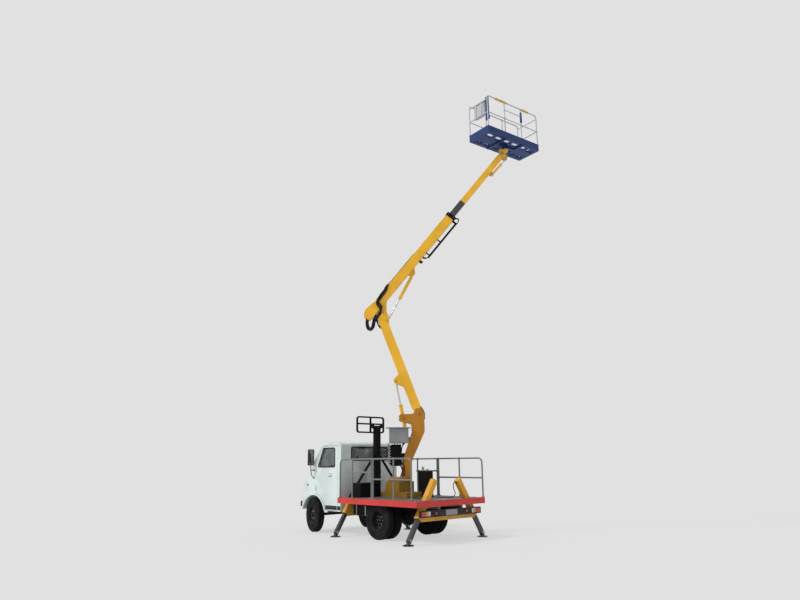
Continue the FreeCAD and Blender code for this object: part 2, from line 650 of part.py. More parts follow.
for place, x, leg_length in (("rear", S.pad_x_rear, S.rear_leg), ("front", S.pad_x_front, S.front_leg)):
    for side, sign in SIDES:
        leg = Piece(f"outrigger_leg_{place}_{side}")
        half, radius = S.leg_side / 2, S.pad_diameter / 2
        leg.turn("XZ", "V_Axis", [(0, 0), (radius, 0), (radius, S.pad_thick), (46, S.pad_thick + 10),
                                  (34, S.pad_boss), (0, S.pad_boss)])
        strip = [(-half * slope_cos * sign, S.pad_boss - half * slope_sin - 6),
                 (half * slope_cos * sign, S.pad_boss + half * slope_sin - 6)]
        far = [(sign * (on_leg(1, leg_length, out)[0] - S.pad_y), on_leg(1, leg_length, out)[1])
               for out in (half, -half)]
        leg.pad("YZ", -half, half, strip + far)
        leg.place(x, sign * S.pad_y, 0)

# Railings

post_r = S.tube / 2
rail = Piece("deck_railings")
for side, sign in SIDES:
    y = sign * (S.deck_half - S.rail_inset)
    front = S.deck_front - S.rail_inset * 2.4
    rear = S.deck_rear + S.rail_inset * (1 if sign < 0 else 6.5)
    rail.pipe("XZ", y, [(rear, S.deck_top), (rear, S.rail_top, S.rail_corner),
                        (front, S.rail_top, S.rail_corner), (front, S.deck_top)], post_r)
    for x in (S.post_rear, S.post_middle - S.tube * 0.7, S.post_middle + S.tube * 0.7, S.post_front):
        rail.pad("XY", S.deck_top, S.rail_top, Disc(x, y, post_r))
    rail.pad("YZ", rear, S.post_middle, Disc(y, S.mid_rail, post_r))
    rail.pad("YZ", S.post_middle, S.post_front, Disc(y, S.high_rail, post_r))

# Boom rest: mast, braces, saddle and tube guard

rest = Piece("boom_rest")
half = S.rest_side / 2
rest.pad("XY", S.deck_top, S.rest_top, box(S.rest_x - half, -half, S.rest_x + half, half, 8))
rest.pad("XY", S.deck_top, S.deck_top + 12, box(S.rest_x - 120, -120, S.rest_x + 120, 120))
rest.pad("YZ", S.rest_x - half, S.rest_x + half, [
    (-170, S.rest_top + 110), (-150, S.rest_top + 40, 20), (-60, S.rest_top, 30), (60, S.rest_top, 30),
    (150, S.rest_top + 40, 20), (170, S.rest_top + 110), (150, S.rest_top + 110), (125, S.rest_top + 60, 20),
    (-125, S.rest_top + 60, 20), (-150, S.rest_top + 110)])
for sign in (1, -1):
    rest.pad("YZ", S.rest_x - S.brace_tube / 2, S.rest_x + S.brace_tube / 2, [
        (sign * (S.brace_y + 26), S.deck_top), (sign * (S.brace_y - 26), S.deck_top),
        (0, S.brace_z - 45), (0, S.brace_z + 15)])
guard_y, guard_z = (S.guard_left + S.guard_right) / 2, (S.guard_low + S.guard_high) / 2
gr = S.tube / 2
ring_out = box(S.guard_right - gr, S.guard_low - gr, S.guard_left + gr, S.guard_high + gr, S.guard_corner)
ring_in = box(S.guard_right + gr, S.guard_low + gr, S.guard_left - gr, S.guard_high - gr,
              S.guard_corner - S.tube)
guard_x = S.rest_x + S.rest_side / 2 - 2
rest.pad("YZ", guard_x, guard_x + S.tube, ring_out, ring_in)
rest.pad("YZ", guard_x, guard_x + S.tube,
          box(S.guard_right, guard_z - gr + 20, S.guard_left, guard_z + gr + 20))
rest.pad("YZ", guard_x, guard_x + S.tube, box(guard_y - gr, S.guard_low, guard_y + gr, S.guard_high))

# Cab shell

cab_profile = [
    (S.cab_rear, S.cab_sill), (S.cab_rear, S.roof_rear, S.roof_round),
    (S.crown_x, S.roof_crown, 900), (S.brow_x, S.brow_z, 120), (S.screen_x, S.screen_z, 200),
    (S.nose_x, S.nose_z, 170), (S.front_x, S.front_z, 60), (S.front_x - 40, S.cab_sill)]
w = S.cab_wall
floor_top = S.cab_floor + S.floor_thick
cab_inside = [
    (S.cab_rear + w, floor_top), (S.cab_rear + w, S.roof_rear - w, 40),
    (S.crown_x, S.roof_crown - w, 900), (S.brow_x - 20, S.brow_z - w, 90),
    (S.screen_x - 45, S.screen_z - 18, 180), (S.nose_x - w, S.nose_z - 10, 140), (S.front_x - w - 10, floor_top)]
cab_under = [
    (S.cab_rear + w, S.cab_sill - 50), (S.cab_rear + w, S.cab_floor), (S.front_x - w - 10, S.cab_floor),
    (S.front_x - w, S.front_z, 40), (S.front_x - 40 - w, S.cab_sill - 50)]
inner_y = S.cab_half - w
cab = Piece("cab_shell").pad("XZ", -S.cab_half, S.cab_half, cab_profile)
cab.cut("XZ", -inner_y, inner_y, cab_inside)
cab.cut("XZ", -inner_y, inner_y, cab_under)
for x in (S.wheelbase,):
    cab.cut("XZ", -S.cab_half - 1, S.cab_half + 1, Disc(x, AXLE_Z, S.arch_radius))
g = S.moving_gap
door_hole = [
    (S.door_rear - g, S.door_foot - g), (S.door_rear - g, S.door_top + g, 30), (S.door_brow + g, S.door_top + g, 30),
    (S.door_front + g, S.door_knee + g, 40), (S.door_front + g, S.door_foot - g)]
cab.cut("XZ", -S.cab_half - 1, -inner_y + 1, door_hole)
cab.cut("XZ", inner_y - 1, S.cab_half + 1, door_hole)
lip_outer = S.arch_radius + S.arch_lip
for sign in (1, -1):
    low, high = (inner_y, S.cab_half + S.lip_proud) if sign > 0 else (-S.cab_half - S.lip_proud, -inner_y)
    cab.pad("XZ", low, high, Disc(S.wheelbase, AXLE_Z, lip_outer), Disc(S.wheelbase, AXLE_Z, S.arch_radius))
cab.cut("XZ", -S.cab_half - 40, S.cab_half + 40,
        box(S.cab_rear - 10, -200, S.front_x + 100, S.cab_sill))
cab.cut("YZ", S.cab_rear - 10, S.cab_rear + w + 10,
        box(-S.rail_outer - 25, S.cab_sill - 1, S.rail_outer + 25, S.rail_high + 60))
for sign in (1, -1):
    cab.cut("YZ", S.nose_x - 70, S.front_x + 60, Disc(sign * S.lamp_y, S.lamp_z, S.lamp_diameter / 2))
for z in (715, 755, 795):
    cab.cut("YZ", S.nose_x - 70, S.front_x + 60, box(-S.grille_half, z, S.grille_half, z + 22, 8))
slope_x, slope_z = S.screen_x - S.brow_x, S.screen_z - S.brow_z


def screen_point(along, depth):
    """A point of the windscreen's wall: share of its slope from the brow, and depth inward."""
    return (S.brow_x + slope_x * along - depth * 0.8, S.brow_z + slope_z * along - depth * 0.6)


screen_hole = [screen_point(0.14, -60), screen_point(0.14, 140), screen_point(0.93, 140), screen_point(0.93, -60)]
cab.cut("XZ", -S.screen_half, S.screen_half, screen_hole)
cab.cut("YZ", S.cab_rear - 10, S.cab_rear + w + 10,
        box(-S.rear_window_half, S.rear_window_low, S.rear_window_half, S.rear_window_high, S.window_round))

glass = Piece("cab_glass").pad(
    "XZ", -S.screen_half, S.screen_half,
    [screen_point(0.14, 16), screen_point(0.14, 22), screen_point(0.93, 22), screen_point(0.93, 16)])
glass.pad(
    "YZ", S.cab_rear + 20, S.cab_rear + 20 + S.glass,
    box(-S.rear_window_half, S.rear_window_low, S.rear_window_half, S.rear_window_high, S.window_round))

# Doors

window = [(S.window_rear, S.window_low, S.window_round), (S.window_front, S.window_low, S.window_round),
          (S.window_brow, S.window_high, S.window_round), (S.window_rear + 8, S.window_high, S.window_round)]
door_outline = [
    (S.door_rear, S.door_foot, 20), (S.door_rear, S.door_top, 24), (S.door_brow, S.door_top, 24),
    (S.door_front, S.door_knee, 34), (S.door_front, S.door_foot)]
for side, sign in SIDES:
    low, high = (inner_y, S.cab_half) if sign > 0 else (-S.cab_half, -inner_y)
    door = Piece(f"door_{side}").pad("XZ", low, high, door_outline)
    door.cut("XZ", low - 1, high + 1, Disc(S.wheelbase, AXLE_Z, lip_outer + g))
    door.cut("XZ", low - 1, high + 1, window)
    handle = (high, high + 26) if sign > 0 else (low - 26, low)
    door.pad("XZ", handle[0], handle[1], box(1640, 1275, 1780, 1305, 10))
    hinge_y, skin_y = sign * (S.cab_half + 14), sign * (S.cab_half - 2)
    low_y, high_y = (skin_y, hinge_y - 4) if sign > 0 else (hinge_y + 4, skin_y)
    for z in (960, 1400):
        door.pad("XY", z, z + 70, Disc(S.hinge_x, hinge_y, 11))
        door.pad("XY", z, z + 70, box(S.hinge_x - 34, low_y, S.hinge_x, high_y))
        door.cut("XY", z - 1, z + 71, Disc(S.hinge_x, hinge_y, 5 + S.running_gap))
        for ear in (z - 10, z + 73):
            cab.pad("XY", ear, ear + 7, Disc(S.hinge_x, hinge_y, 11))
            cab.pad("XY", ear, ear + 7, box(S.hinge_x, low_y, S.hinge_x + 40, high_y))
        cab.pad("XY", z - 10, z + 80, Disc(S.hinge_x, hinge_y, 5))
    middle = (low + high) / 2
    pane = Piece(f"door_glass_{side}").pad("XZ", middle - S.glass / 2, middle + S.glass / 2, window)

# Cab fittings

engine = Piece("engine_block").pad("XZ", -250, 250, box(1560, 450, 2150, S.cab_floor, 20))
engine.pad("XZ", -110, 110, box(S.gearbox_x, 410, 1580, 640, 20))
for sign in (1, -1):
    low, high = (200, S.rail_inner) if sign > 0 else (-S.rail_inner, -200)
    engine.pad("XZ", low, high, box(1700, S.rail_low + 10, 1800, S.rail_high - 10))
seats = Piece("seats")
for y in (-S.cab_half + 130, S.cab_half - 660):
    seats.pad("XZ", y, y + 530, [
        (1420, floor_top), (1850, floor_top), (1880, floor_top + 330, 50),
        (1520, floor_top + 310, 30), (1450, floor_top + 800, 40), (1372, floor_top + 800, 30), (1390, floor_top + 200)])
dash = Piece("dashboard").pad("XZ", -inner_y, inner_y, [
    (2330, 1180, 20), (2300, 1330, 40), (2395, 1400, 40), (2420, 1400), (2560, 1200), (2560, 1140)])
steering = Piece("steering_wheel").turn("XZ", "V_Axis", [(182, -13, 12), (208, -13, 12), (208, 13, 12),
                                                         (182, 13, 12)])
steering.pad("XY", -12, 12, Disc(0, 0, 40))
steering.pad("XY", -6, 6, box(-190, -14, 190, 14))
steering.pad("XY", -606, 0, Disc(0, 0, 20))
steering.place(2080, 390, 1390, 0, -38)

lean = (S.front_x - S.nose_x) / (S.nose_z - S.front_z)
bumper_top, face_low = S.bumper_low + S.bumper_height, S.front_z + 20
bumper = Piece("front_bumper").pad("XZ", -S.cab_half - 20, S.cab_half + 20, [
    (S.front_x + 6, S.bumper_low), (S.front_x + S.bumper_reach, S.bumper_low, 20),
    (S.front_x + S.bumper_reach, bumper_top, 20), (S.front_x - (bumper_top - S.front_z) * lean, bumper_top),
    (S.front_x - (face_low - S.front_z) * lean, face_low)])
for sign in (1, -1):
    end, tip_x = sign * (S.cab_half + 21), S.front_x + S.bumper_reach + 1
    bumper.cut("XY", S.bumper_low - 1, bumper_top + 1, [
        (tip_x, end - sign * 90), (tip_x, end), (S.front_x + 25, end)])
lamps = Piece("lamps")
for sign in (1, -1):
    lamps.pad("YZ", S.nose_x - 60, S.front_x + 14, Disc(sign * S.lamp_y, S.lamp_z, S.lamp_diameter / 2))
lamps.pad("YZ", S.frame_rear - 24, S.frame_rear, box(-900, S.rail_low - 16, 900, S.rail_high - 6, 10))
mirrors = Piece("mirrors")
for sign in (1, -1):
    low, high = (S.cab_half, S.cab_half + 108) if sign > 0 else (-S.cab_half - 108, -S.cab_half)
    mirrors.pad("XZ", low, high, Disc(2350, S.mirror_arm, 9))
    mirrors.pad("XY", S.mirror_arm, S.mirror_low + 10, Disc(2350, sign * (S.cab_half + 100), 9))
    low, high = (S.cab_half + 20, S.cab_half + 180) if sign > 0 else (-S.cab_half - 180, -S.cab_half - 20)
    mirrors.pad("YZ", 2330, 2370, box(low, S.mirror_low, high, S.mirror_high, 24))

# Under the deck: fuel tank and exhaust

tank = Piece("fuel_tank").pad("YZ", 500, 1010, box(S.rail_outer, 430, 700, 680, 50))
exhaust = Piece("silencer").pad("YZ", 500, 1000, Disc(-200, 440, 70))
exhaust.pad("YZ", 300, 502, Disc(-200, 440, 24))
for x in (560, 900):
    exhaust.pad("YZ", x, x + 40, box(-340, 440, -200, S.rail_low))

# Deck equipment

hydraulic = Piece("hydraulic_tank").pad("XY", S.deck_top, 1370, box(-380, -430, -90, -S.base_half - 6, 20))
toolbox = Piece("toolbox").pad("XY", S.deck_top, 1120, box(700, 180, 980, 760, 10))

# Turret, in a frame whose X points along the boom's plane

def on_turret(piece, r, side, z, pitch=0):
    x = S.slew_x + r * cosine(S.slew_angle) - side * sine(S.slew_angle)
    y = r * sine(S.slew_angle) + side * cosine(S.slew_angle)
    return piece.place(x, y, z, S.slew_angle, -pitch)


base = Piece("slew_pedestal")
half = S.base_half
base.pad("XY", S.deck_top, S.deck_top + 110, box(-half - 250, -half, half + 150, half, 10))
base.pad("XY", S.deck_top + 100, S.ring_low, box(-half, -half, half, half, 20))
base.pad("XY", S.ring_low, S.ring_low + S.ring_height, Disc(0, 0, S.ring_diameter / 2))
base.pad("XY", S.deck_top + 100, S.ring_low - 20, Disc(half + 85, 0, 58))
base.pad("XY", S.ring_low - 70, S.ring_low - 40, box(half - 20, -50, half + 85, 50))
base.place(S.slew_x, 0, 0)

table = S.ring_low + S.ring_height
post = Piece("turret_post")
post.pad("XY", table + S.slide_gap, table + 30, Disc(0, 0, S.ring_diameter / 2 + 10))
foot, hw = S.post_foot, S.lower_width / 2 + S.cheek_gap + S.cheek
pr, pz = S.pivot_r, S.pivot_z
post.pad("XZ", -hw, hw, [
    (foot - 100, table + 20), (foot + 100, table + 20), (foot + 130, 1600, 300), (pr + 130, 2230, 60),
    (pr + 60, 2330), (pr - 150, 2250), (foot - 90, 1560, 300)])
for low, high in ((hw - S.cheek, hw), (-hw, S.cheek - hw)):
    post.pad("XZ", low, high, [
        (pr + 130, 2230), (pr + 120, pz + 10, 70), (pr + 60, pz + 110, 60), (pr - 70, pz + 100, 60),
        (pr - 120, pz - 20, 60), (0, 2620, 40), (0, 2470, 40), (pr - 160, 2400, 60), (pr - 160, 2240)])
post.pad("XZ", -hw - 14, hw + 14, Disc(pr, pz, S.pin_diameter / 2))
post.cut("XZ", -hw - 1, hw + 1, Disc(S.lift_foot_r, S.lift_foot_z, S.small_pin / 2 + S.running_gap))
on_turret(post, 0, 0, 0)

edge_slope = (pr - 150 - foot + 90) / (2250 - 1560)


def bracket(near, low, high):
    """Outline from a box's side to the sloping back edge of the post."""
    return [(near, low), (foot - 90 + (low - 1560) * edge_slope, low),
            (foot - 90 + (high - 1560) * edge_slope, high), (near, high)]


cabinet = Piece("control_cabinet").pad("XZ", -210, 210, box(-230, 1980, 200, 2320, 12))
cabinet.pad("XZ", -60, 60, bracket(190, 2010, 2110))
cabinet.pad("XY", 2314, 2324, box(-300, -250, 262, 250, 20))
on_turret(cabinet, 0, 0, 0)
valves = Piece("valve_block").pad("XZ", -110, 110, box(-190, 1480, 40, 1950, 20))
valves.pad("XZ", -60, 60, bracket(20, 1650, 1760))
on_turret(valves, 0, 0, 0)

# Lower boom, in a frame whose X runs from its pivot along the boom

lw = S.lower_width / 2
depth = S.lower_depth / 2
fork_x = S.lower_length - 330
elbow_z = -S.elbow_drop
lower = Piece("lower_boom")
lower.pad("XZ", -lw, lw, [(-70, -60, 40), (-70, 60, 40), (180, depth), (fork_x, depth), (fork_x, -depth),
                          (180, -depth)])
for low, high in ((lw - S.fork_plate, lw), (-lw, S.fork_plate - lw)):
    lower.pad("XZ", low, high, [
        (fork_x - 40, depth), (S.lower_length - 120, depth, 60), (S.lower_length + 45, -15, 50),
        (S.lower_length + 70, elbow_z - 75, 60), (S.lower_length - 160, elbow_z - 90, 80), (fork_x - 40, -depth)])
for low, high in ((28, 42), (-42, -28)):
    lower.pad("XZ", low, high, [
        (S.lift_head_x - 200, depth - 4), (S.lift_head_x - 50, S.lift_head_z + 36, 50),
        (S.lift_head_x + 50, S.lift_head_z + 36, 50), (S.lift_head_x + 120, depth - 4)])
    near, far = (high, high + 12) if low > 0 else (low - 12, low)
    lower.pad("XZ", near, far, Disc(S.lift_head_x, S.lift_head_z, 26))
lower.pad("XZ", -lw - 12, lw + 12, Disc(S.lower_length, elbow_z, S.pin_diameter / 2))
for low, high in ((lw - 4, lw + 12), (-lw - 12, 4 - lw)):
    lower.pad("XZ", low, high, Disc(S.lower_length - S.elbow_head_x, S.elbow_head_z, 24))
lower.cut("XZ", -lw - 1, lw + 1, Disc(0, 0, S.pin_diameter / 2 + S.running_gap))
lower.cut("XZ", S.fork_plate - lw, lw - S.fork_plate, [
    (S.nest_start, -depth - 1), (S.nest_start + 70, S.nest_top), (fork_x + 1, S.nest_top), (fork_x + 1, -depth - 1)])
on_turret(lower, pr, 0, pz, S.lower_angle)


def along(r, z, angle, x, up):
    """Place in the boom's plane of a point given along and square to a boom."""
    return (r + x * cosine(angle) - up * sine(angle), z + x * sine(angle) + up * cosine(angle))


def ram(name, foot, head, barrel, mouth, tail, barrel_width, rod_width, rod_length, eye, pin):
    """Barrel and rod between a foot and a head in the boom's plane; the frame's X runs up the rod."""
    reach_r, reach_z = head[0] - foot[0], head[1] - foot[1]
    length = root(reach_r * reach_r + reach_z * reach_z)
    angle = bearing(reach_r, reach_z)
    body = Piece(f"{name}_barrel")
    body.pad("YZ", tail, mouth, Disc(0, 0, barrel_width / 2), Disc(0, 0, rod_width / 2 + 4))
    body.pad("YZ", mouth - 26, mouth + 8, Disc(0, 0, barrel_width / 2 + 6), Disc(0, 0, rod_width / 2 + S.rod_gap))
    body.pad("YZ", tail - 14, tail + 1, Disc(0, 0, barrel_width / 2 - 4))
    if number(tail) < 0:
        body.pad("XZ", barrel_width / 2 - 3, pin, Disc(0, 0, S.small_pin / 2))
        body.pad("XZ", -pin, 3 - barrel_width / 2, Disc(0, 0, S.small_pin / 2))
    else:
        body.pad("XZ", -eye, eye, Disc(0, 0, S.small_pin / 2 + 14), Disc(0, 0, S.small_pin / 2 + S.running_gap))
        body.pad("XZ", -eye, eye, box(S.small_pin / 2 + 8, -18, tail, 18))
    on_turret(body, foot[0], 0, foot[1], angle)
    rod = Piece(f"{name}_rod")
    rod.pad("YZ", length - rod_length, length - 20, Disc(0, 0, rod_width / 2))
    rod.pad("XZ", -eye, eye, Disc(length, 0, S.small_pin / 2 + 8))
    on_turret(rod, foot[0], 0, foot[1], angle)


lift_foot = (S.lift_foot_r, S.lift_foot_z)
lift_head = along(pr, pz, S.lower_angle, S.lift_head_x, S.lift_head_z)
ram("lift_cylinder", lift_foot, lift_head, 0, 300, -190, 84, 44, 690, 19, hw - 4)

# Upper boom, in a frame whose X runs from the elbow along the boom

elbow = along(pr, pz, S.lower_angle, S.lower_length, elbow_z)
uw, ud, rise, skin = S.upper_width / 2, S.upper_depth / 2, S.upper_rise, S.boom_wall
upper = Piece("upper_boom").pad(
    "YZ", S.upper_root, S.collar_x, box(-uw, rise - ud, uw, rise + ud, 12),
    box(skin - uw, rise - ud + skin, uw - skin, rise + ud - skin, 6))
upper.pad("XZ", -uw, uw, [
    (S.upper_root + 2, rise - ud), (S.upper_root - 50, rise - ud + 20, 50), (S.upper_root - 50, rise + ud - 30, 50),
    (S.upper_root + 2, rise + ud)])
for low, high in ((uw - 1, uw + 8), (-uw - 8, 1 - uw)):
    upper.pad("XZ", low, high, [
        (S.upper_root - 50, rise - ud + 20, 60), (S.upper_root - 50, rise + ud - 10, 100),
        (S.upper_root + 110, rise + ud + 45, 140), (90, rise + ud - 8, 60), (60, rise - ud + 5, 60),
        (S.upper_root + 40, rise - ud - 5, 60)])
lug = lw - S.fork_plate - 5
for low, high in ((lug - 16, lug), (-lug, 16 - lug)):
    upper.pad("XZ", low, high, [
        (-160, rise - ud + 3), (-60, -70, 60), (60, -70, 60), (260, rise - ud + 3)])
upper.cut("XZ", -uw - 1, uw + 1, Disc(0, 0, S.pin_diameter / 2 + S.running_gap))
for low, high in ((28, 42), (-42, -28)):
    upper.pad("XZ", low, high, [
        (S.elbow_foot_x - 110, rise - ud + 3), (S.elbow_foot_x - 40, S.elbow_foot_z - 34, 36),
        (S.elbow_foot_x + 40, S.elbow_foot_z - 34, 36), (S.elbow_foot_x + 140, rise - ud + 3)])
upper.pad("XZ", -50, 50, Disc(S.elbow_foot_x, S.elbow_foot_z, S.small_pin / 2))
on_turret(upper, elbow[0], 0, elbow[1], S.upper_angle)

collar = Piece("boom_collar").pad(
    "YZ", S.collar_x, S.collar_x + S.collar_length, box(-uw - 18, rise - ud - 18, uw + 18, rise + ud + 18, 20),
    box(-S.inner_width / 2 - S.slide_gap, rise - S.inner_depth / 2 - S.slide_gap,
        S.inner_width / 2 + S.slide_gap, rise + S.inner_depth / 2 + S.slide_gap, 6))
collar.pad("YZ", S.tray_start, S.collar_x + 5, [
    (-32, 8), (-32, -34), (32, -34), (32, 8), (28, 8), (28, -30), (-28, -30), (-28, 8)])
for x in (S.tray_start + 50, S.tray_start + 490):
    collar.pad("YZ", x, x + 30, box(-6, -32, 6, rise - ud))
collar.pad("YZ", S.collar_x - 25, S.collar_x + 5, box(-32, -34, 32, rise - ud))
collar.pad("YZ", S.collar_x, S.collar_x + 5, box(-32, -34, 32, rise - ud + 20))
on_turret(collar, elbow[0], 0, elbow[1], S.upper_angle)

elbow_foot = along(elbow[0], elbow[1], S.upper_angle, S.elbow_foot_x, S.elbow_foot_z)
elbow_head = along(pr, pz, S.lower_angle, S.lower_length - S.elbow_head_x, S.elbow_head_z)
ram("elbow_cylinder", elbow_foot, elbow_head, 0, 700, 104, 76, 40, 740, 22, 50)

# Telescope

iw, idp = S.inner_width / 2, S.inner_depth / 2
inner = Piece("telescope").pad(
    "YZ", S.inner_start, S.tip_x - 150, box(-iw, rise - idp, iw, rise + idp, 8),
    box(skin - iw, rise - idp + skin, iw - skin, rise + idp - skin, 4))
inner.pad("XZ", -iw, iw, [
    (S.tip_x - 180, rise - idp), (S.tip_x + 30, rise - 60, 56), (S.tip_x + 62, rise, 50),
    (S.tip_x + 30, rise + 60, 56), (S.tip_x - 180, rise + idp)])
inner.cut("XZ", -iw - 1, iw + 1, Disc(S.tip_x, rise, S.small_pin / 2 + S.running_gap))
level_x, level_z = S.tip_x - S.level_foot_x, rise + S.level_foot_z
for low, high in ((26, 38), (-38, -26)):
    inner.pad("XZ", low, high, [
        (level_x - 50, rise - idp + 3), (level_x - 24, level_z - 28, 26), (level_x + 24, level_z - 28, 26),
        (level_x + 70, rise - idp + 3)])
inner.pad("XZ", -46, 46, Disc(level_x, level_z, S.small_pin / 2))
on_turret(inner, elbow[0], 0, elbow[1], S.upper_angle)

tip = along(elbow[0], elbow[1], S.upper_angle, S.tip_x, rise)
level_foot = along(elbow[0], elbow[1], S.upper_angle, level_x, level_z)
level_head = (tip[0] + S.crank * cosine(S.crank_angle), tip[1] + S.crank * sine(S.crank_angle))
ram("levelling_cylinder", level_foot, level_head, 0, 380, 76, 56, 28, 360, 20, 46)

# Knuckle at the tip, upright as it stands

kw = iw + S.cheek_gap
knuckle = Piece("basket_knuckle")
crank_x, crank_z = S.crank * cosine(S.crank_angle), S.crank * sine(S.crank_angle)
for low, high in ((kw, kw + 14), (-kw - 14, -kw)):
    knuckle.pad("XZ", low, high, [
        (-60, 20, 40), (-40, -60, 40), (crank_x - 20, crank_z - 30, 30), (crank_x + 30, crank_z, 30),
        (80, 40, 60), (S.post_reach + 70, 130), (-60, 130)])
knuckle.pad("XZ", -kw - 2, kw + 2, box(-60, 92, S.post_reach + 70, 130))
knuckle.pad("XY", 120, 150, Disc(S.post_reach, 0, 84))
knuckle.pad("XZ", -kw - 22, kw + 22, Disc(0, 0, S.small_pin / 2))
on_turret(knuckle, tip[0], 0, tip[1])


# Basket, in a frame whose X runs along its long side, on the rotator's axis

def in_basket(piece):
    r = tip[0] + S.post_reach
    return piece.place(S.slew_x + r * cosine(S.slew_angle), r * sine(S.slew_angle), tip[1] + S.basket_rise,
                       S.basket_azimuth)


bl, bd, bt = S.basket_length / 2, S.basket_depth / 2, S.basket_tube / 2
mount = Piece("basket_mount").pad("XY", -S.basket_rise + 150 + S.slide_gap, -30, Disc(0, 0, 74))
for x in (-300, 300):
    mount.pad("XY", -32, 0, box(x - 30, 30 - bd, x + 30, bd - 30))
mount.pad("XY", -32, -2, box(-320, -50, 320, 50))
in_basket(mount)
floor = Piece("basket_floor").pad("XY", 0, S.basket_floor, box(-bl, -bd, bl, bd, 20))
slots = [box(-bl + 80 + i * 285, y, -bl + 80 + i * 285 + 215, y + 130, 12)
         for i in range(6) for y in (-bd + 90, bd - 220)]
for slot in slots:
    floor.cut("XY", -1, S.basket_floor + 1, slot)
floor.pad(
    "XY", S.basket_floor, S.basket_floor + S.toe_height, box(-bl, -bd, bl, bd, 20), box(4 - bl, 4 - bd, bl - 4, bd - 4, 16))
in_basket(floor)
rails = Piece("basket_rails")
edge_x, edge_y = bl - 6 - bt, bd - 6 - bt
for sign in (1, -1):
    rails.pipe("XZ", sign * edge_y, [(-edge_x, S.basket_floor), (-edge_x, S.basket_height, 70),
                                    (edge_x, S.basket_height, 70), (edge_x, S.basket_floor)], bt)
    rails.pad("YZ", -edge_x, edge_x, Disc(sign * edge_y, S.basket_height * 0.55, bt - 3))
    for x in (-edge_x / 3, edge_x / 3):
        rails.pad("XY", S.basket_floor, S.basket_height, Disc(x, sign * edge_y, bt - 1.5))
for x in (-edge_x, edge_x):
    for z in (S.basket_height * 0.55, S.basket_height - 90):
        rails.pad("XZ", -edge_y, edge_y, Disc(x, z, bt - 1.5))
in_basket(rails)
controls = Piece("basket_controls").pad("XZ", -170, 170, [
    (-edge_x + bt, 530), (-edge_x + bt + 150, 600, 20), (-edge_x + bt + 170, 820, 20),
    (-edge_x + bt, 930)])
in_basket(controls)

doc.recompute()
for item in doc.Objects:
    if "Invalid" in item.State or "Error" in item.State:
        raise RuntimeError(f"{item.Name} {item.Label}: {item.State}")
    if item.TypeId == "PartDesign::Pocket" and item.Shape.Volume > item.BaseFeature.Shape.Volume - 1:
        raise RuntimeError(f"{item.Name}: cuts nothing")
os.makedirs("parts", exist_ok=True)
for body in PARTS:
    if body.Shape.isNull() or not body.Shape.isValid():
        raise RuntimeError(f"{body.Label}: shape is not valid")
    body.Shape.exportStep(f"parts/{body.Label}.step")
print(len(PARTS), "sub-parts")
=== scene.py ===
import json
import math

import bmesh
import bpy
import numpy as np
from mathutils import Matrix, Vector


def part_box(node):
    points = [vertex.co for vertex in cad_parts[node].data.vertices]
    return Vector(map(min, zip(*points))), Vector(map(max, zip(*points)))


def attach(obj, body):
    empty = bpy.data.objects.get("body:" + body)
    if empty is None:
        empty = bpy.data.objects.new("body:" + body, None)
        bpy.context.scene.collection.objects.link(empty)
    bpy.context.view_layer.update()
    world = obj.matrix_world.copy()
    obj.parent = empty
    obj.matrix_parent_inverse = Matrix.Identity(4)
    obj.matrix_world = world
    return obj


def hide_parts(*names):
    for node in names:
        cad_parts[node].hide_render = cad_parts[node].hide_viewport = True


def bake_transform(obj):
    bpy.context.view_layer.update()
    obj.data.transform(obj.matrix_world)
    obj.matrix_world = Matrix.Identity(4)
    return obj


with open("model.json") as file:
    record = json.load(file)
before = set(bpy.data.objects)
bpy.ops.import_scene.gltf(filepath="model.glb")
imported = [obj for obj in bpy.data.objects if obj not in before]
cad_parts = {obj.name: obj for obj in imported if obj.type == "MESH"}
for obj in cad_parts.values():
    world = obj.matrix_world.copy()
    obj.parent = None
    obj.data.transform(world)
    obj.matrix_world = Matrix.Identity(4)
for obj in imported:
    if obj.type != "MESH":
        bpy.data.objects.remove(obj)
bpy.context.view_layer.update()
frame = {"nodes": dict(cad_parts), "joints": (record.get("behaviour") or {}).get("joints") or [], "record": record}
nodes = frame["nodes"]
joints = {joint["name"]: joint for joint in frame["joints"]}


# Shader maths

class Value:
    """A shader socket whose arithmetic adds Math nodes."""

    def __init__(self, owner, socket):
        self.owner, self.socket = owner, socket

    def _math(self, operation, *operands):
        return self.owner.math(operation, *operands)

    def __add__(self, other):
        return self._math("ADD", self, other)

    def __sub__(self, other):
        return self._math("SUBTRACT", self, other)

    def __rsub__(self, other):
        return self._math("SUBTRACT", other, self)

    def __mul__(self, other):
        return self._math("MULTIPLY", self, other)

    def __truediv__(self, other):
        return self._math("DIVIDE", self, other)

    def __gt__(self, other):
        return self._math("GREATER_THAN", self, other)

    def __lt__(self, other):
        return self._math("LESS_THAN", self, other)

    __radd__, __rmul__ = __add__, __mul__


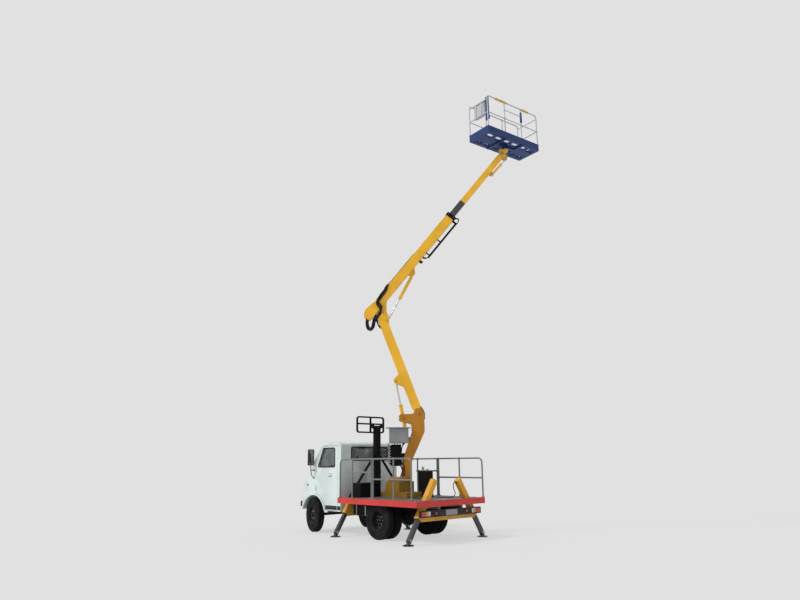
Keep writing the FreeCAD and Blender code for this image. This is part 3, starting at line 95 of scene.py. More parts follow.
class NodeTree:
    """A node tree of a material or the world, emptied, and the few calls that fill it."""

    def __init__(self, tree):
        self.tree = tree
        tree.nodes.clear()

    def node(self, kind, settings=None, values=None):
        """Adds a node: its settings first, then the values or links of its sockets."""
        node = self.tree.nodes.new(kind)
        for name, value in (settings or {}).items():
            setattr(node, name, value)
        for name, value in (values or {}).items():
            socket = node.inputs[name]
            if isinstance(value, Value):
                self.tree.links.new(value.socket, socket)
            else:
                socket.default_value = value
        return node

    def get(self, kind, settings=None, values=None, output=0):
        """One output of a new node, as a value."""
        return Value(self, self.node(kind, settings, values).outputs[output])

    def math(self, operation, *operands):
        return self.get("ShaderNodeMath", {"operation": operation}, dict(enumerate(operands)))

    def seen_directly(self):
        """1 for rays from the camera and from gloss or glass, 0 for light on surfaces."""
        rays = self.node("ShaderNodeLightPath").outputs
        camera, gloss, glass = (Value(self, rays[f"Is {kind} Ray"]) for kind in
                                ("Camera", "Glossy", "Transmission"))
        return self.math("MINIMUM", camera + gloss + glass, 1.0)

    def either(self, share, first, second):
        """Mix of two shaders by the second one's share."""
        return self.get("ShaderNodeMixShader", None, {0: share, 1: first, 2: second})


class Look(NodeTree):
    """A material whose patterns read the piece's Object coordinates."""

    def __init__(self, name):
        self.material = bpy.data.materials.new(name)
        self.material.use_nodes = True
        super().__init__(self.material.node_tree)
        self.place = self.get("ShaderNodeTexCoord", output="Object")

    def stretched(self, scale):
        """The piece's coordinates drawn out by a scale for each axis."""
        return self.get("ShaderNodeMapping", None, {"Vector": self.place, "Scale": scale})

    def noise(self, scale, detail=3.0, vector=None, rough=0.5):
        return self.get("ShaderNodeTexNoise", None, {
            "Vector": vector or self.place, "Scale": scale, "Detail": detail, "Roughness": rough})

    def cells(self, scale, vector=None):
        return self.get("ShaderNodeTexVoronoi", None, {"Vector": vector or self.place, "Scale": scale})

    def ribs(self):
        """Upright ribs of lamp plastic, across the vehicle."""
        return self.get("ShaderNodeTexWave", {"bands_direction": "Y"}, {
            "Vector": self.place, "Scale": 42.0, "Distortion": 0.0}, 1)

    def between(self, value, low, high, to_low=0.0, to_high=1.0):
        """The value's share of the way from low to high, held at the ends."""
        return self.get("ShaderNodeMapRange", {"interpolation_type": "SMOOTHSTEP"}, {
            "Value": value, "From Min": low, "From Max": high, "To Min": to_low, "To Max": to_high})

    def mix(self, share, first, second):
        """Two colours, given as values or as red, green and blue, mixed by the second one's share."""
        pair = [(*colour, 1) if isinstance(colour, tuple) else colour for colour in (first, second)]
        return self.get("ShaderNodeMix", {"data_type": "RGBA"}, {0: share, 6: pair[0], 7: pair[1]}, 2)

    def axis(self, index):
        """One coordinate of the place on the piece."""
        return self.get("ShaderNodeSeparateXYZ", None, {"Vector": self.place}, index)

    def upward(self):
        """How far the surface faces up, 1 when it lies flat."""
        normal = self.get("ShaderNodeNewGeometry", output="Normal")
        return self.get("ShaderNodeSeparateXYZ", None, {"Vector": normal}, 2)

    def bump(self, height, distance, strength=1.0):
        return self.get("ShaderNodeBump", None, {
            "Height": height, "Distance": distance, "Strength": strength})

    def covered(self, shader):
        """The finished material with this shader."""
        self.node("ShaderNodeOutputMaterial", None, {"Surface": shader})
        return self.material

    def surface(self, values):
        return self.covered(self.get("ShaderNodeBsdfPrincipled", None, values))


def tone(colour, factor):
    """Colour made darker or paler, held at 1."""
    return tuple(min(1.0, channel * factor) for channel in colour)


DUST = (0.33, 0.29, 0.23)
BARE_EDGE = (0.12, 0.07, 0.04)
SPLASH_TOP, SPLASH_FULL = 0.95, 0.35


def painted(name, colour, rough=0.35, coat=0.3, dust=0.35, grime=0.35, chips=0.0, under=BARE_EDGE,
            shine=0.5, dirt=0.45):
    """Sprayed paint: slow change of tone, streaks that run down, dust on what faces up, dirt splashed on
    near the ground, and chips down to the colour under it."""
    look = Look(name)
    slow = look.noise(2.3, 4.0)
    streak = look.noise(1.0, 5.0, look.stretched((34.0, 34.0, 2.2)), 0.65)
    fine = look.noise(90.0, 2.0)
    body = look.mix(look.between(slow, 0.35, 0.65), tone(colour, 0.90), tone(colour, 1.06))
    body = look.mix(look.between(streak, 0.55, 0.80) * grime, body, tone(colour, 0.45))
    splash = look.between(look.axis(2), SPLASH_TOP, SPLASH_FULL) \
        * look.between(look.noise(9.0, 5.0), 0.35, 0.75)
    lying = look.between(look.upward(), 0.55, 0.95) * look.between(look.noise(6.0, 4.0), 0.30, 0.70)
    veil = look.math("MINIMUM", splash * dirt + lying * dust, 1.0)
    body = look.mix(veil, body, DUST)
    gloss = look.between(fine, 0.3, 0.7, rough * 0.9, rough * 1.15) + veil * 0.35
    height = look.noise(520.0, 1.0) * 0.4 + look.noise(26.0, 2.0)
    if chips:
        chip = look.between(look.cells(19.0, look.stretched((1.0, 1.0, 1.4))), 0.055 * chips, 0.035 * chips)
        chip = chip * look.between(look.noise(3.0), 0.48, 0.60)
        body = look.mix(chip, body, under)
        gloss = gloss + chip * 0.3
        height = height - chip * 2.0
    return look.surface({"Base Color": body, "Roughness": gloss, "Coat Weight": coat, "Coat Roughness": 0.12,
                         "Specular IOR Level": shine, "Normal": look.bump(height, 0.0006, 0.5)})


def rubber(name, colour=(0.010, 0.010, 0.011), rough=0.78):
    """Black rubber with grey road dust in its hollows."""
    look = Look(name)
    slow = look.noise(7.0, 4.0)
    body = look.mix(look.between(slow, 0.38, 0.66), colour, tone(colour, 2.1))
    body = look.mix(look.between(look.noise(38.0, 5.0), 0.55, 0.78) * 0.3, body, (0.04, 0.037, 0.034))
    height = look.noise(210.0, 2.0) + look.noise(900.0, 1.0) * 0.3
    return look.surface({"Base Color": body, "Specular IOR Level": 0.08,
                         "Roughness": look.between(slow, 0.3, 0.7, rough, rough + 0.14),
                         "Normal": look.bump(height, 0.0006, 0.6)})


def bare_metal(name, colour, rough, grain=(6.0, 240.0, 240.0), metallic=1.0):
    """Drawn or ground metal whose grain runs one way."""
    look = Look(name)
    lines = look.noise(1.0, 3.0, look.stretched(grain), 0.6)
    body = look.mix(look.between(lines, 0.3, 0.7), tone(colour, 0.82), tone(colour, 1.08))
    stain = look.between(look.noise(12.0, 4.0), 0.55, 0.75) * 0.35
    body = look.mix(stain, body, tone(colour, 0.4))
    return look.surface({"Base Color": body, "Metallic": metallic,
                         "Roughness": look.between(lines, 0.3, 0.7, rough * 0.8, rough * 1.3) + stain * 0.3,
                         "Normal": look.bump(lines, 0.0003, 0.4)})


def moulded(name, colour, rough=0.5, grain=700.0):
    """Moulded plastic with a fine pebble."""
    look = Look(name)
    pebble = look.cells(grain)
    body = look.mix(look.between(look.noise(11.0, 3.0), 0.35, 0.65), tone(colour, 0.85), tone(colour, 1.2))
    gloss = look.between(look.noise(30.0), 0.3, 0.7, rough, rough + 0.12)
    return look.surface({"Base Color": body, "Roughness": gloss, "Specular IOR Level": 0.3,
                         "Normal": look.bump(pebble, 0.0004, 0.35)})


def woven(name, colour):
    """Seat cloth: two sets of threads at right angles."""
    look = Look(name)
    thread = {"Vector": look.place, "Scale": 160.0, "Distortion": 0.6, "Detail": 1.0, "Detail Scale": 2.0}
    warp, weft = (look.get("ShaderNodeTexWave", {"bands_direction": direction, "wave_profile": "SIN"},
                           thread, 1) for direction in ("Y", "DIAGONAL"))
    weave = warp * weft
    body = look.mix(look.between(weave, 0.1, 0.7), tone(colour, 0.6), tone(colour, 1.3))
    body = look.mix(look.between(look.noise(8.0, 4.0), 0.45, 0.75) * 0.35, body, DUST)
    return look.surface({"Base Color": body, "Roughness": 0.86, "Sheen Weight": 0.25,
                         "Normal": look.bump(weave, 0.0007, 0.6)})


def pane(name, colour, alpha=0.42):
    """Window glass with a film of dust that gathers low down."""
    look = Look(name)
    film = look.between(look.noise(5.0, 5.0), 0.45, 0.8)
    body = look.mix(film * 0.4, colour, (0.30, 0.30, 0.28))
    return look.surface({"Base Color": body, "Roughness": look.between(film, 0.0, 1.0, 0.04, 0.22),
                         "Alpha": film * 0.16 + alpha, "Specular IOR Level": 0.7, "Coat Weight": 0.6,
                         "Coat Roughness": 0.02})


def lens(name, colour):
    """Ribbed lamp plastic."""
    look = Look(name)
    ribs = look.ribs()
    body = look.mix(look.between(ribs, 0.2, 0.8), tone(colour, 0.6), colour)
    gloss = look.between(look.noise(20.0), 0.3, 0.7, 0.12, 0.22)
    return look.surface({"Base Color": body, "Roughness": gloss, "Coat Weight": 0.8, "Coat Roughness": 0.04,
                         "Normal": look.bump(ribs, 0.0012, 0.5)})


def tread_plate(name):
    """Deck plate with raised bars in two directions, worn and dusty."""
    look = Look(name)
    eighth = math.pi / 4
    rows = [look.get("ShaderNodeMapping", None, {
        "Vector": look.place, "Rotation": (0.0, 0.0, turn), "Scale": (1.0, 2.6, 1.0)})
        for turn in (eighth, -eighth)]
    raised = look.math("MAXIMUM", *[look.between(look.cells(26.0, row), 0.30, 0.16) for row in rows])
    worn = look.between(look.noise(3.2, 5.0), 0.40, 0.72)
    body = look.mix(worn, (0.085, 0.085, 0.083), (0.17, 0.16, 0.145))
    body = look.mix(raised * worn, body, (0.30, 0.30, 0.30))
    body = look.mix(look.between(look.noise(14.0, 4.0), 0.58, 0.74) * 0.6, body, (0.15, 0.08, 0.04))
    return look.surface({"Base Color": body, "Roughness": look.between(worn, 0.0, 1.0, 0.62, 0.48),
                         "Metallic": raised * worn * 0.6, "Normal": look.bump(raised, 0.0015, 0.8)})


# Finishes

WHITE = (0.66, 0.75, 0.74)
YELLOW = (0.93, 0.50, 0.016)
RED = (0.60, 0.034, 0.028)
BLUE = (0.009, 0.038, 0.165)
BLACK = (0.006, 0.006, 0.007)
RUST = (0.05, 0.03, 0.02)

cab_white = painted("cab_white", WHITE, 0.30, 0.5, 0.12, 0.14, dirt=0.25)
boom_yellow = painted("boom_yellow", YELLOW, 0.34, 0.2, 0.15, 0.30, 0.6, shine=0.4)
worn_yellow = painted("worn_yellow", (0.74, 0.36, 0.02), 0.45, 0.1, 0.35, 0.65, 1.2, shine=0.4)
# The turret post's yellow is darker than the booms': partly worn paint, partly painted shade for the post's side
# that faces away from the light.
post_yellow = painted("post_yellow", (0.50, 0.205, 0.009), 0.42, 0.1, 0.2, 0.6, 0.8, shine=0.3)
base_ochre = painted("base_ochre", (0.26, 0.145, 0.012), 0.5, 0.05, 0.3, 0.8, 1.2, shine=0.25)
deck_red = painted("deck_red", RED, 0.38, 0.15, 0.25, 0.30, 1.0, shine=0.3, dirt=0.2)
basket_blue = painted("basket_blue", BLUE, 0.40, 0.1, 0.3, 0.25, 0.8, (0.05, 0.05, 0.055), 0.22)
chassis_black = painted("chassis_black", BLACK, 0.6, 0.0, 0.15, 0.2, 0.8, RUST, 0.1, 0.06)
wheel_grey = painted("wheel_grey", (0.016, 0.016, 0.017), 0.55, 0.0, 0.2, 0.3, 0.4,
                     (0.05, 0.035, 0.025), 0.15, 0.08)
rail_grey = painted("rail_grey", (0.17, 0.175, 0.18), 0.42, 0.15, 0.25, 0.35, 0.6, (0.10, 0.06, 0.04))
cabinet_grey = painted("cabinet_grey", (0.27, 0.275, 0.29), 0.42, 0.2, 0.3, 0.45)
basket_grey = painted("basket_grey", (0.50, 0.52, 0.55), 0.36, 0.2, 0.2, 0.25, 0.5, (0.16, 0.14, 0.12))
leg_grey = bare_metal("leg_grey", (0.085, 0.086, 0.088), 0.30, (160.0, 160.0, 5.0), 0.9)
ground_steel = bare_metal("ground_steel", (0.42, 0.42, 0.43), 0.34)
chrome_rod = bare_metal("chrome_rod", (0.72, 0.72, 0.74), 0.14, (90.0, 90.0, 90.0))
engine_iron = bare_metal("engine_iron", (0.10, 0.095, 0.09), 0.62, (30.0, 30.0, 30.0), 0.7)
exhaust_rust = painted("exhaust_rust", (0.14, 0.075, 0.045), 0.75, 0.0, 0.5, 0.6, 1.4, (0.24, 0.10, 0.05))
tyre_rubber = rubber("tyre_rubber")
trim_rubber = rubber("trim_rubber", (0.018, 0.018, 0.019), 0.6)
hose_rubber = rubber("hose_rubber", (0.014, 0.014, 0.015), 0.5)
black_plastic = moulded("black_plastic", (0.022, 0.022, 0.023))
dash_plastic = moulded("dash_plastic", (0.035, 0.037, 0.040), 0.6)
seat_cloth = woven("seat_cloth", (0.075, 0.080, 0.095))
window_glass = pane("window_glass", (0.035, 0.055, 0.055))
lamp_glass = lens("lamp_glass", (0.62, 0.64, 0.64))
lamp_amber = lens("lamp_amber", (0.80, 0.27, 0.02))
lamp_red = lens("lamp_red", (0.50, 0.015, 0.012))
mirror_glass = bare_metal("mirror_glass", (0.20, 0.21, 0.215), 0.05, (3.0, 3.0, 3.0))
rail_gold = moulded("rail_gold", (0.62, 0.40, 0.07), 0.55, 240.0)
deck_steel = tread_plate("deck_steel")


FIRST_STAGE_END = 3.43


def telescope_look():
    """Dark first stage, then yellow, split by the distance along the upper boom from the elbow."""
    look = Look("telescope_stages")
    along, elbow = joints["telescope_slide"]["axis"], joints["upper_lift"]["pos_m"]
    distance = look.get("ShaderNodeVectorMath", {"operation": "DOT_PRODUCT"}, {
        0: look.place, 1: along}, "Value") - float(np.dot(along, elbow))
    inner = distance > FIRST_STAGE_END
    slow = look.noise(2.3, 4.0)
    streak = look.between(look.noise(1.0, 5.0, look.stretched((30.0, 30.0, 3.0))), 0.55, 0.8)
    dark = look.mix(look.between(slow, 0.35, 0.65), (0.030, 0.031, 0.036), (0.050, 0.050, 0.056))
    bright = look.mix(look.between(slow, 0.35, 0.65), tone(YELLOW, 0.92), tone(YELLOW, 1.05))
    body = look.mix(streak * 0.35, look.mix(inner, dark, bright), (0.10, 0.07, 0.03))
    return look.surface({"Base Color": body, "Roughness": look.between(slow, 0.3, 0.7, 0.30, 0.42),
                         "Coat Weight": 0.3, "Coat Roughness": 0.12,
                         "Normal": look.bump(look.noise(40.0), 0.0005, 0.4)})


def lamp_look():
    """Clear lamp glass on the nose, black paint on the lamp bar behind the axle."""
    look = Look("lamp_glass_and_bar")
    front = look.axis(0) > 0.0
    ribs = look.ribs()
    clear = look.mix(look.between(ribs, 0.2, 0.8), (0.36, 0.38, 0.38), (0.62, 0.64, 0.64))
    bar = look.mix(look.between(look.noise(6.0, 4.0), 0.4, 0.7), BLACK, (0.045, 0.030, 0.020))
    return look.surface({"Base Color": look.mix(front, bar, clear), "Coat Weight": front * 0.8,
                         "Roughness": look.between(look.noise(20.0), 0.3, 0.7, 0.42, 0.55) - front * 0.35,
                         "Specular IOR Level": 0.3, "Normal": look.bump(ribs, 0.0012, 0.4)})


NODE_LOOKS = {
    "tyre": tyre_rubber, "rim": wheel_grey, "knuckle": chassis_black, "front_axle": chassis_black,
    "rear_axle": chassis_black, "leaf_springs": chassis_black, "chassis_frame": chassis_black,
    "propeller_shaft": chassis_black, "deck": deck_steel, "deck_edge": deck_red,
    "outrigger_frames": worn_yellow, "outrigger_leg": leg_grey, "deck_railings": rail_grey,
    "boom_rest": chassis_black, "cab_shell": cab_white, "cab_glass": window_glass,
    "engine_block": engine_iron, "dashboard": dash_plastic, "steering_wheel": black_plastic,
    "front_bumper": chassis_black, "lamps": lamp_look(), "mirrors": black_plastic, "fuel_tank": chassis_black,
    "silencer": exhaust_rust, "hydraulic_tank": chassis_black, "toolbox": chassis_black,
    "slew_pedestal": base_ochre, "door_l": cab_white, "door_r": cab_white,
    # the turret post's darker yellow holds painted shade as well as wear
    "door_glass": window_glass, "turret_post": post_yellow, "control_cabinet": cabinet_grey,
    "valve_block": chassis_black, "lift_cylinder_barrel": boom_yellow, "lift_cylinder_rod": chrome_rod,
    "lower_boom": boom_yellow, "upper_boom": boom_yellow, "boom_collar": chassis_black,
    "elbow_cylinder_barrel": boom_yellow, "elbow_cylinder_rod": chrome_rod, "telescope": telescope_look(),
    "levelling_cylinder_barrel": boom_yellow, "levelling_cylinder_rod": chrome_rod,
    "basket_knuckle": boom_yellow, "basket_mount": basket_blue, "basket_floor": basket_blue,
    "basket_rails": basket_grey, "basket_controls": basket_grey, "seats": seat_cloth,
}
for name, part in nodes.items():
    key = max((key for key in NODE_LOOKS if name.startswith(key)), key=len)
    part.data.materials.clear()
    part.data.materials.append(NODE_LOOKS[key])


# Surfaces

def quads(rows, columns, round_rows=False, round_columns=True):
    """Faces of a grid of points counted row by row; a round direction closes on itself."""
    row = np.arange(rows if round_rows else rows - 1)[:, None]
    column = np.arange(columns if round_columns else columns - 1)[None, :]
    near, far = row * columns, (row + 1) % rows * columns
    after = (column + 1) % columns
    return np.stack([near + column, near + after, far + after, far + column], -1).reshape(-1, 4).tolist()


def unit(vectors):
    """Vectors divided by their lengths."""
    vectors = np.asarray(vectors, float)
    return vectors / np.linalg.norm(vectors, axis=-1, keepdims=True)


def circle(radius, sides=12, wide=1.0):
    """Ring (r cos a, r sin a), drawn out sideways by wide."""
    angle = np.linspace(0, 2 * np.pi, sides, endpoint=False)
    return np.stack([radius * wide * np.cos(angle), radius * np.sin(angle)], -1)


def oblong(wide, high, radius, steps=3):
    """Rounded rectangle: each quarter circle of the radius pushed out to its own corner."""
    angle = (np.arange(4)[:, None] + np.linspace(0, 1, steps + 1)[None, :]) * np.pi / 2
    corner = np.array([(1, 1), (-1, 1), (-1, -1), (1, -1)]) * (wide / 2 - radius, high / 2 - radius)
    return (corner[:, None] + radius * np.stack([np.cos(angle), np.sin(angle)], -1)).reshape(-1, 2)


def carried(path, profile, closed=False, up=(0, 0, 1)):
    """Profile (u, v) carried along a path p: p + u n + v b, with n = t x up and b = n x t."""
    path = np.asarray(path, float)
    ahead = np.roll(path, -1, 0) - np.roll(path, 1, 0) if closed else np.gradient(path, axis=0)
    ahead = unit(ahead)
    across = unit(np.cross(ahead, up))
    lift = np.cross(across, ahead)
    profile = np.asarray(profile, float)
    points = path[:, None] + profile[None, :, :1] * across[:, None] + profile[None, :, 1:] * lift[:, None]
    count = len(profile)
    faces = quads(len(path), count, closed)
    if not closed:
        last = (len(path) - 1) * count
        faces += [list(range(count)), list(range(last, last + count))]
    return points.reshape(-1, 3), faces


def rounded(corners, radius, steps=6, closed=False):
    """Runs joined by bends (1-s)^2 a + 2s(1-s) c + s^2 b, with a and b a radius away from each corner c."""
    corners = np.asarray(corners, float)
    middle = corners if closed else corners[1:-1]
    before = np.roll(corners, 1, 0) if closed else corners[:-2]
    after = np.roll(corners, -1, 0) if closed else corners[2:]
    reach = [np.minimum(radius, np.linalg.norm(end - middle, axis=1) / 2)[:, None] for end in (before, after)]
    start = middle + unit(before - middle) * reach[0]
    end = middle + unit(after - middle) * reach[1]
    s = np.linspace(0, 1, steps + 1)[None, :, None]
    bends = (1 - s) ** 2 * start[:, None] + 2 * s * (1 - s) * middle[:, None] + s ** 2 * end[:, None]
    bends = bends.reshape(-1, 3)
    return bends if closed else np.concatenate([corners[:1], bends, corners[-1:]])


def flowing(points, steps=8):
    """Catmull-Rom curve through the points, each span a cubic in s set by its four nearest points."""
    points = np.asarray(points, float)
    p = np.concatenate([2 * points[:1] - points[1:2], points, 2 * points[-1:] - points[-2:-1]])
    a, b, c, d = (p[i:len(p) - 3 + i, None] for i in range(4))
    s = np.linspace(0, 1, steps, endpoint=False)[None, :, None]
    spans = 0.5 * (2 * b + (c - a) * s + (2 * a - 5 * b + 4 * c - d) * s ** 2
                   + (3 * b - a - 3 * c + d) * s ** 3)
    return np.concatenate([spans.reshape(-1, 3), points[-1:]])


def square_to(axis):
    """Two directions square to an axis and to each other."""
    axis = unit(axis)
    first = unit(np.cross(axis, (0, 0, 1) if abs(axis[2]) < 0.9 else (1, 0, 0)))
    return first, np.cross(axis, first)


def turned(profile, centre, axis, sides=32):
    """Profile (radius, height) turned about an axis: c + h k + r (cos a n + sin a b)."""
    axis = unit(axis)
    first, second = square_to(axis)
    angle = np.linspace(0, 2 * np.pi, sides, endpoint=False)
    spoke = np.cos(angle)[:, None] * first + np.sin(angle)[:, None] * second
    profile = np.asarray(profile, float)
    points = np.asarray(centre) + profile[:, None, 1:] * axis + profile[:, None, :1] * spoke[None]
    return points.reshape(-1, 3), quads(len(profile), sides)


def block(centre, size, radius=0.004, axes=None, steps=2):
    """Rounded box: c + sign(n) (size/2 - r) + r n, n running over the unit sphere in two angles."""
    quarter = (np.arange(4)[:, None] + np.linspace(0, 1, steps + 1)[None, :]).reshape(-1) * np.pi / 2
    across = np.repeat(np.array([(1, 1), (-1, 1), (-1, -1), (1, -1)]), steps + 1, 0)
    rise = np.linspace(0, np.pi / 2, steps + 1)
    rise = np.concatenate([rise - np.pi / 2, rise])
    level = np.repeat([-1, 1], steps + 1)
    half = np.asarray(size, float) / 2 - radius
    x = across[None, :, 0] * half[0] + radius * np.cos(rise)[:, None] * np.cos(quarter)[None]
    y = across[None, :, 1] * half[1] + radius * np.cos(rise)[:, None] * np.sin(quarter)[None]
    z = np.broadcast_to((level * half[2] + radius * np.sin(rise))[:, None], x.shape)
    points = np.stack([x, y, z], -1).reshape(-1, 3)
    if axes is not None:
        points = points @ np.asarray(axes, float)
    rows, columns = x.shape
    last = (rows - 1) * columns
    faces = quads(rows, columns) + [list(range(columns)), list(range(last, last + columns))]
    return points + np.asarray(centre), faces


def bolts(places, axis, across=0.02, high=0.012, sides=6):
    """Bolt heads at many places: a prism with a chamfered top, one set of rings for all of them."""
    places = np.asarray(places, float).reshape(-1, 3)
    axis = unit(axis)
    first, second = square_to(axis)
    angle = np.arange(sides) * 2 * np.pi / sides
    ring = (np.cos(angle)[:, None] * first + np.sin(angle)[:, None] * second) * across / 2
    head = np.concatenate([ring - axis * 0.002, ring + axis * high * 0.8, ring * 0.8 + axis * high])
    points = (places[:, None] + head[None]).reshape(-1, 3)
    one = quads(3, sides) + [list(range(sides)), list(range(2 * sides, 3 * sides))]
    return points, [[index + k * len(head) for index in face] for k in range(len(places)) for face in one]


def joined(*parts):
    """Several sets of points and faces as one."""
    points, faces, first = [], [], 0
    for part_points, part_faces in parts:
        points.append(part_points)
        faces += [[index + first for index in face] for face in part_faces]
        first += len(part_points)
    return np.concatenate(points), faces


def made(name, shape, look, body, replaces=(), angle=35):
    """The named object of a shape, its doubles merged, its faces turned outwards, riding on its body."""
    mesh = bpy.data.meshes.new(name)
    mesh.from_pydata(np.asarray(shape[0]).tolist(), [], shape[1])
    work = bmesh.new()
    work.from_mesh(mesh)
    bmesh.ops.remove_doubles(work, verts=work.verts, dist=1e-5)
    bmesh.ops.dissolve_degenerate(work, dist=1e-6, edges=work.edges)
    bmesh.ops.recalc_face_normals(work, faces=work.faces)
    work.to_mesh(mesh)
    work.free()
    mesh.polygons.foreach_set("use_smooth", [True] * len(mesh.polygons))
    mesh.set_sharp_from_angle(angle=math.radians(angle))
    mesh.materials.append(look)
    piece = bpy.data.objects.new(name, mesh)
    bpy.context.scene.collection.objects.link(piece)
    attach(piece, body)
    if replaces:
        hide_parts(*replaces)
    return piece


def both(make):
    """What make(sign) gives for the left, sign 1, and the right, sign -1, as one shape."""
    return joined(make(1), make(-1))


def border(low, high):
    """Four corners, in turn, of the rectangle between two opposite ones that share one coordinate."""
    low, high = np.asarray(low, float), np.asarray(high, float)
    shared = int(np.argmin(np.abs(high - low)))
    first = min(axis for axis in range(3) if axis != shared)
    corners = np.array([low, low, high, high])
    corners[1, first], corners[3, first] = high[first], low[first]
    return corners


def beading(corners, radius, section, face):
    """Closed bead of a section along rounded corners, lying on the face that it looks out of."""
    return carried(rounded(corners, radius, closed=True), section, True, face)


def collar(inner, outer, half):
    """Outline of a plain ring: its inner and outer radius, and half of its height."""
    return [(inner, -half), (outer, -half), (outer, half), (inner, half), (inner, -half)]


class Frame:
    """A start and three axes x, y and z: start + x a + y b + z c."""

    def __init__(self, start, axes):
        self.start, self.axes = np.asarray(start, float), np.asarray(axes, float)
        self.along, self.left, self.over = self.axes

    def at(self, points):
        return self.start + np.asarray(points, float) @ self.axes

    def block(self, centre, size, radius=0.004):
        return block(self.at(centre), size, radius, self.axes)

    def turned(self, profile, centre, axis, sides=32):
        """Turned piece whose centre and axis are given in this frame."""
        points, faces = turned(profile, centre, axis, sides)
        return self.at(points), faces

    def hose(self, points, radius=0.009, steps=10, sides=10, up=None):
        """Round hose that flows through points of this frame."""
        return carried(flowing(self.at(points), steps), circle(radius, sides),
                       up=self.left if up is None else up)


def place_of(joint):
    """Where a joint's axis passes at rest."""
    return np.array(joints[joint]["pos_m"], float)


# The boom's plane turns with the turret; OUT is level in it, and LEFT is the lower boom's hinge

UP = np.array([0.0, 0.0, 1.0])
LEFT = np.array(joints["lower_lift"]["axis"])
OUT = np.cross(LEFT, UP)


def leaning(start, degrees):
    """Frame in the boom's plane whose x leans up from OUT by an angle."""
    lean = math.radians(degrees)
    along = math.cos(lean) * OUT + math.sin(lean) * UP
    return Frame(start, [along, LEFT, np.cross(along, LEFT)])


LOWER_LEAN, UPPER_LEAN, BASKET_YAW = 110.6, 51.15, math.radians(-96)
SLEW = place_of("slew") * (1, 1, 0)
turret = leaning(SLEW, 0)
lower = leaning(place_of("lower_lift"), LOWER_LEAN)
upper = leaning(place_of("upper_lift"), UPPER_LEAN)
tip = leaning(place_of("levelling"), 0)
basket_length = np.array([math.cos(BASKET_YAW), math.sin(BASKET_YAW), 0])
basket = Frame(place_of("basket_turn"), [basket_length, np.cross(UP, basket_length), UP])


# Wheels

def wheel_frame(joint):
    """Wheel's centre, and its axle's direction away from the vehicle."""
    centre = place_of(joint)
    return centre, unit(joints[joint]["axis"]) * math.copysign(1, centre[1])


def tyre(centre, axis, turns=288):
    """Section of the tyre, closed at its beads, turned about the axle: the radius at each place across less
    the depth of three zigzag grooves round the tread and of the short cuts over both its shoulders."""
    half, bead, belly, tread = 0.089, 0.205, 0.296, 0.3868
    crown, shoulder, groove, depth = 0.044, 0.050, 0.0042, 0.008
    side = rounded([(half * 0.78, bead, 0), (half * 0.98, belly - 0.04, 0), (half, belly, 0),
                    (half * 0.84, tread, 0), (0.016, tread, 0)], 0.030)[:-1, :2]
    flat = np.stack([np.linspace(crown, -crown, 31), np.full(31, tread)], -1)
    section = np.concatenate([side, flat, side[::-1] * (-1, 1)])
    across, radius = section[:, 0][:, None], section[:, 1][:, None]
    angle = np.linspace(0, 2 * np.pi, turns, endpoint=False)[None, :]
    zigzag = np.abs(angle * 36 / (2 * np.pi) % 1 - 0.5) * 0.016 - 0.004
    grooves = sum(np.abs(across - place - zigzag) < groove for place in (-0.036, 0.0, 0.036)) > 0
    cuts = (angle * 48 / (2 * np.pi) % 1 < 0.28) & (np.abs(across) > shoulder)
    pressed = np.where((grooves & (np.abs(across) < shoulder + 0.002)) | cuts, depth, 0.0) * (radius > 0.372)
    wall = (radius > 0.225) & (radius < 0.300)
    ridge = 0.0012 * np.sin((radius - 0.215) * 260) * wall * np.sign(across)
    first, second = square_to(axis)
    spoke = np.cos(angle)[..., None] * first + np.sin(angle)[..., None] * second
    points = centre + (across + ridge + 0 * angle)[..., None] * axis + (radius - pressed)[..., None] * spoke
    return points.reshape(-1, 3), quads(len(section), turns, True)


def round_places(centre, axis, radius, count, start=0.0):
    """Equal places on a circle about an axis."""
    first, second = square_to(axis)
    angle = (start + np.arange(count) * 2 * np.pi / count)[:, None]
    return centre + radius * (np.cos(angle) * first + np.sin(angle) * second)


TWIN_GAP, NUT_CIRCLE = 0.218, 0.082
HUB_CAP = [(0, 0.030), (0.030, 0.028), (0.040, 0.018), (0.044, 0.0), (0.050, -0.004), (0, -0.004)]
for axle, tyres_on, nut_face, hub_face in (("front", 1, 0.044, 0.072), ("rear", 2, -0.032, -0.029)):
    for hand in ("left", "right"):
        name, body = f"{axle}_{hand[0]}", f"wheel_{axle[0]}{hand[0]}"
        centre, outward = wheel_frame(f"roll_{axle}_{hand}")
        made(f"tyre_{name}_tread", joined(*[tyre(centre - outward * TWIN_GAP * row, outward)
                                            for row in range(tyres_on)]),
             tyre_rubber, body, [f"tyre_{name}"])
        nuts = round_places(centre + outward * nut_face, outward, NUT_CIRCLE, 6)
        made(f"wheel_nuts_{name}", bolts(nuts, outward, 0.026, 0.020), ground_steel, body)
        made(f"hub_cap_{name}", turned(HUB_CAP, centre + outward * hub_face, outward, 40), wheel_grey, body)


# Cab

DOOR_FACE = 0.850
BROW, SCREEN_FOOT = np.array([2.055, 0.0, 1.995]), np.array([2.470, 0.0, 1.440])
SCREEN = np.array([0.8, 0.0, 0.6])


def on_screen(share, y, out=0.0):
    """Point of the windscreen: share of its slope down from the brow, side, and height off the glass."""
    return BROW + share * (SCREEN_FOOT - BROW) + np.array([0.0, y, 0.0]) + out * SCREEN


SIDE_WINDOW = [(1.525, 1.470), (2.195, 1.470), (1.985, 1.900), (1.533, 1.900)]
DOOR_LOCK = [(0, 0.006), (0.008, 0.006), (0.011, 0.003), (0.011, -0.002), (0, -0.002)]
SILL_HEIGHT = 0.575


def sill(x, long, sign):
    """Black strip along the foot of the cab's side."""
    return block((x, sign * (DOOR_FACE + 0.002), SILL_HEIGHT), (long, 0.012, 0.085), 0.005)


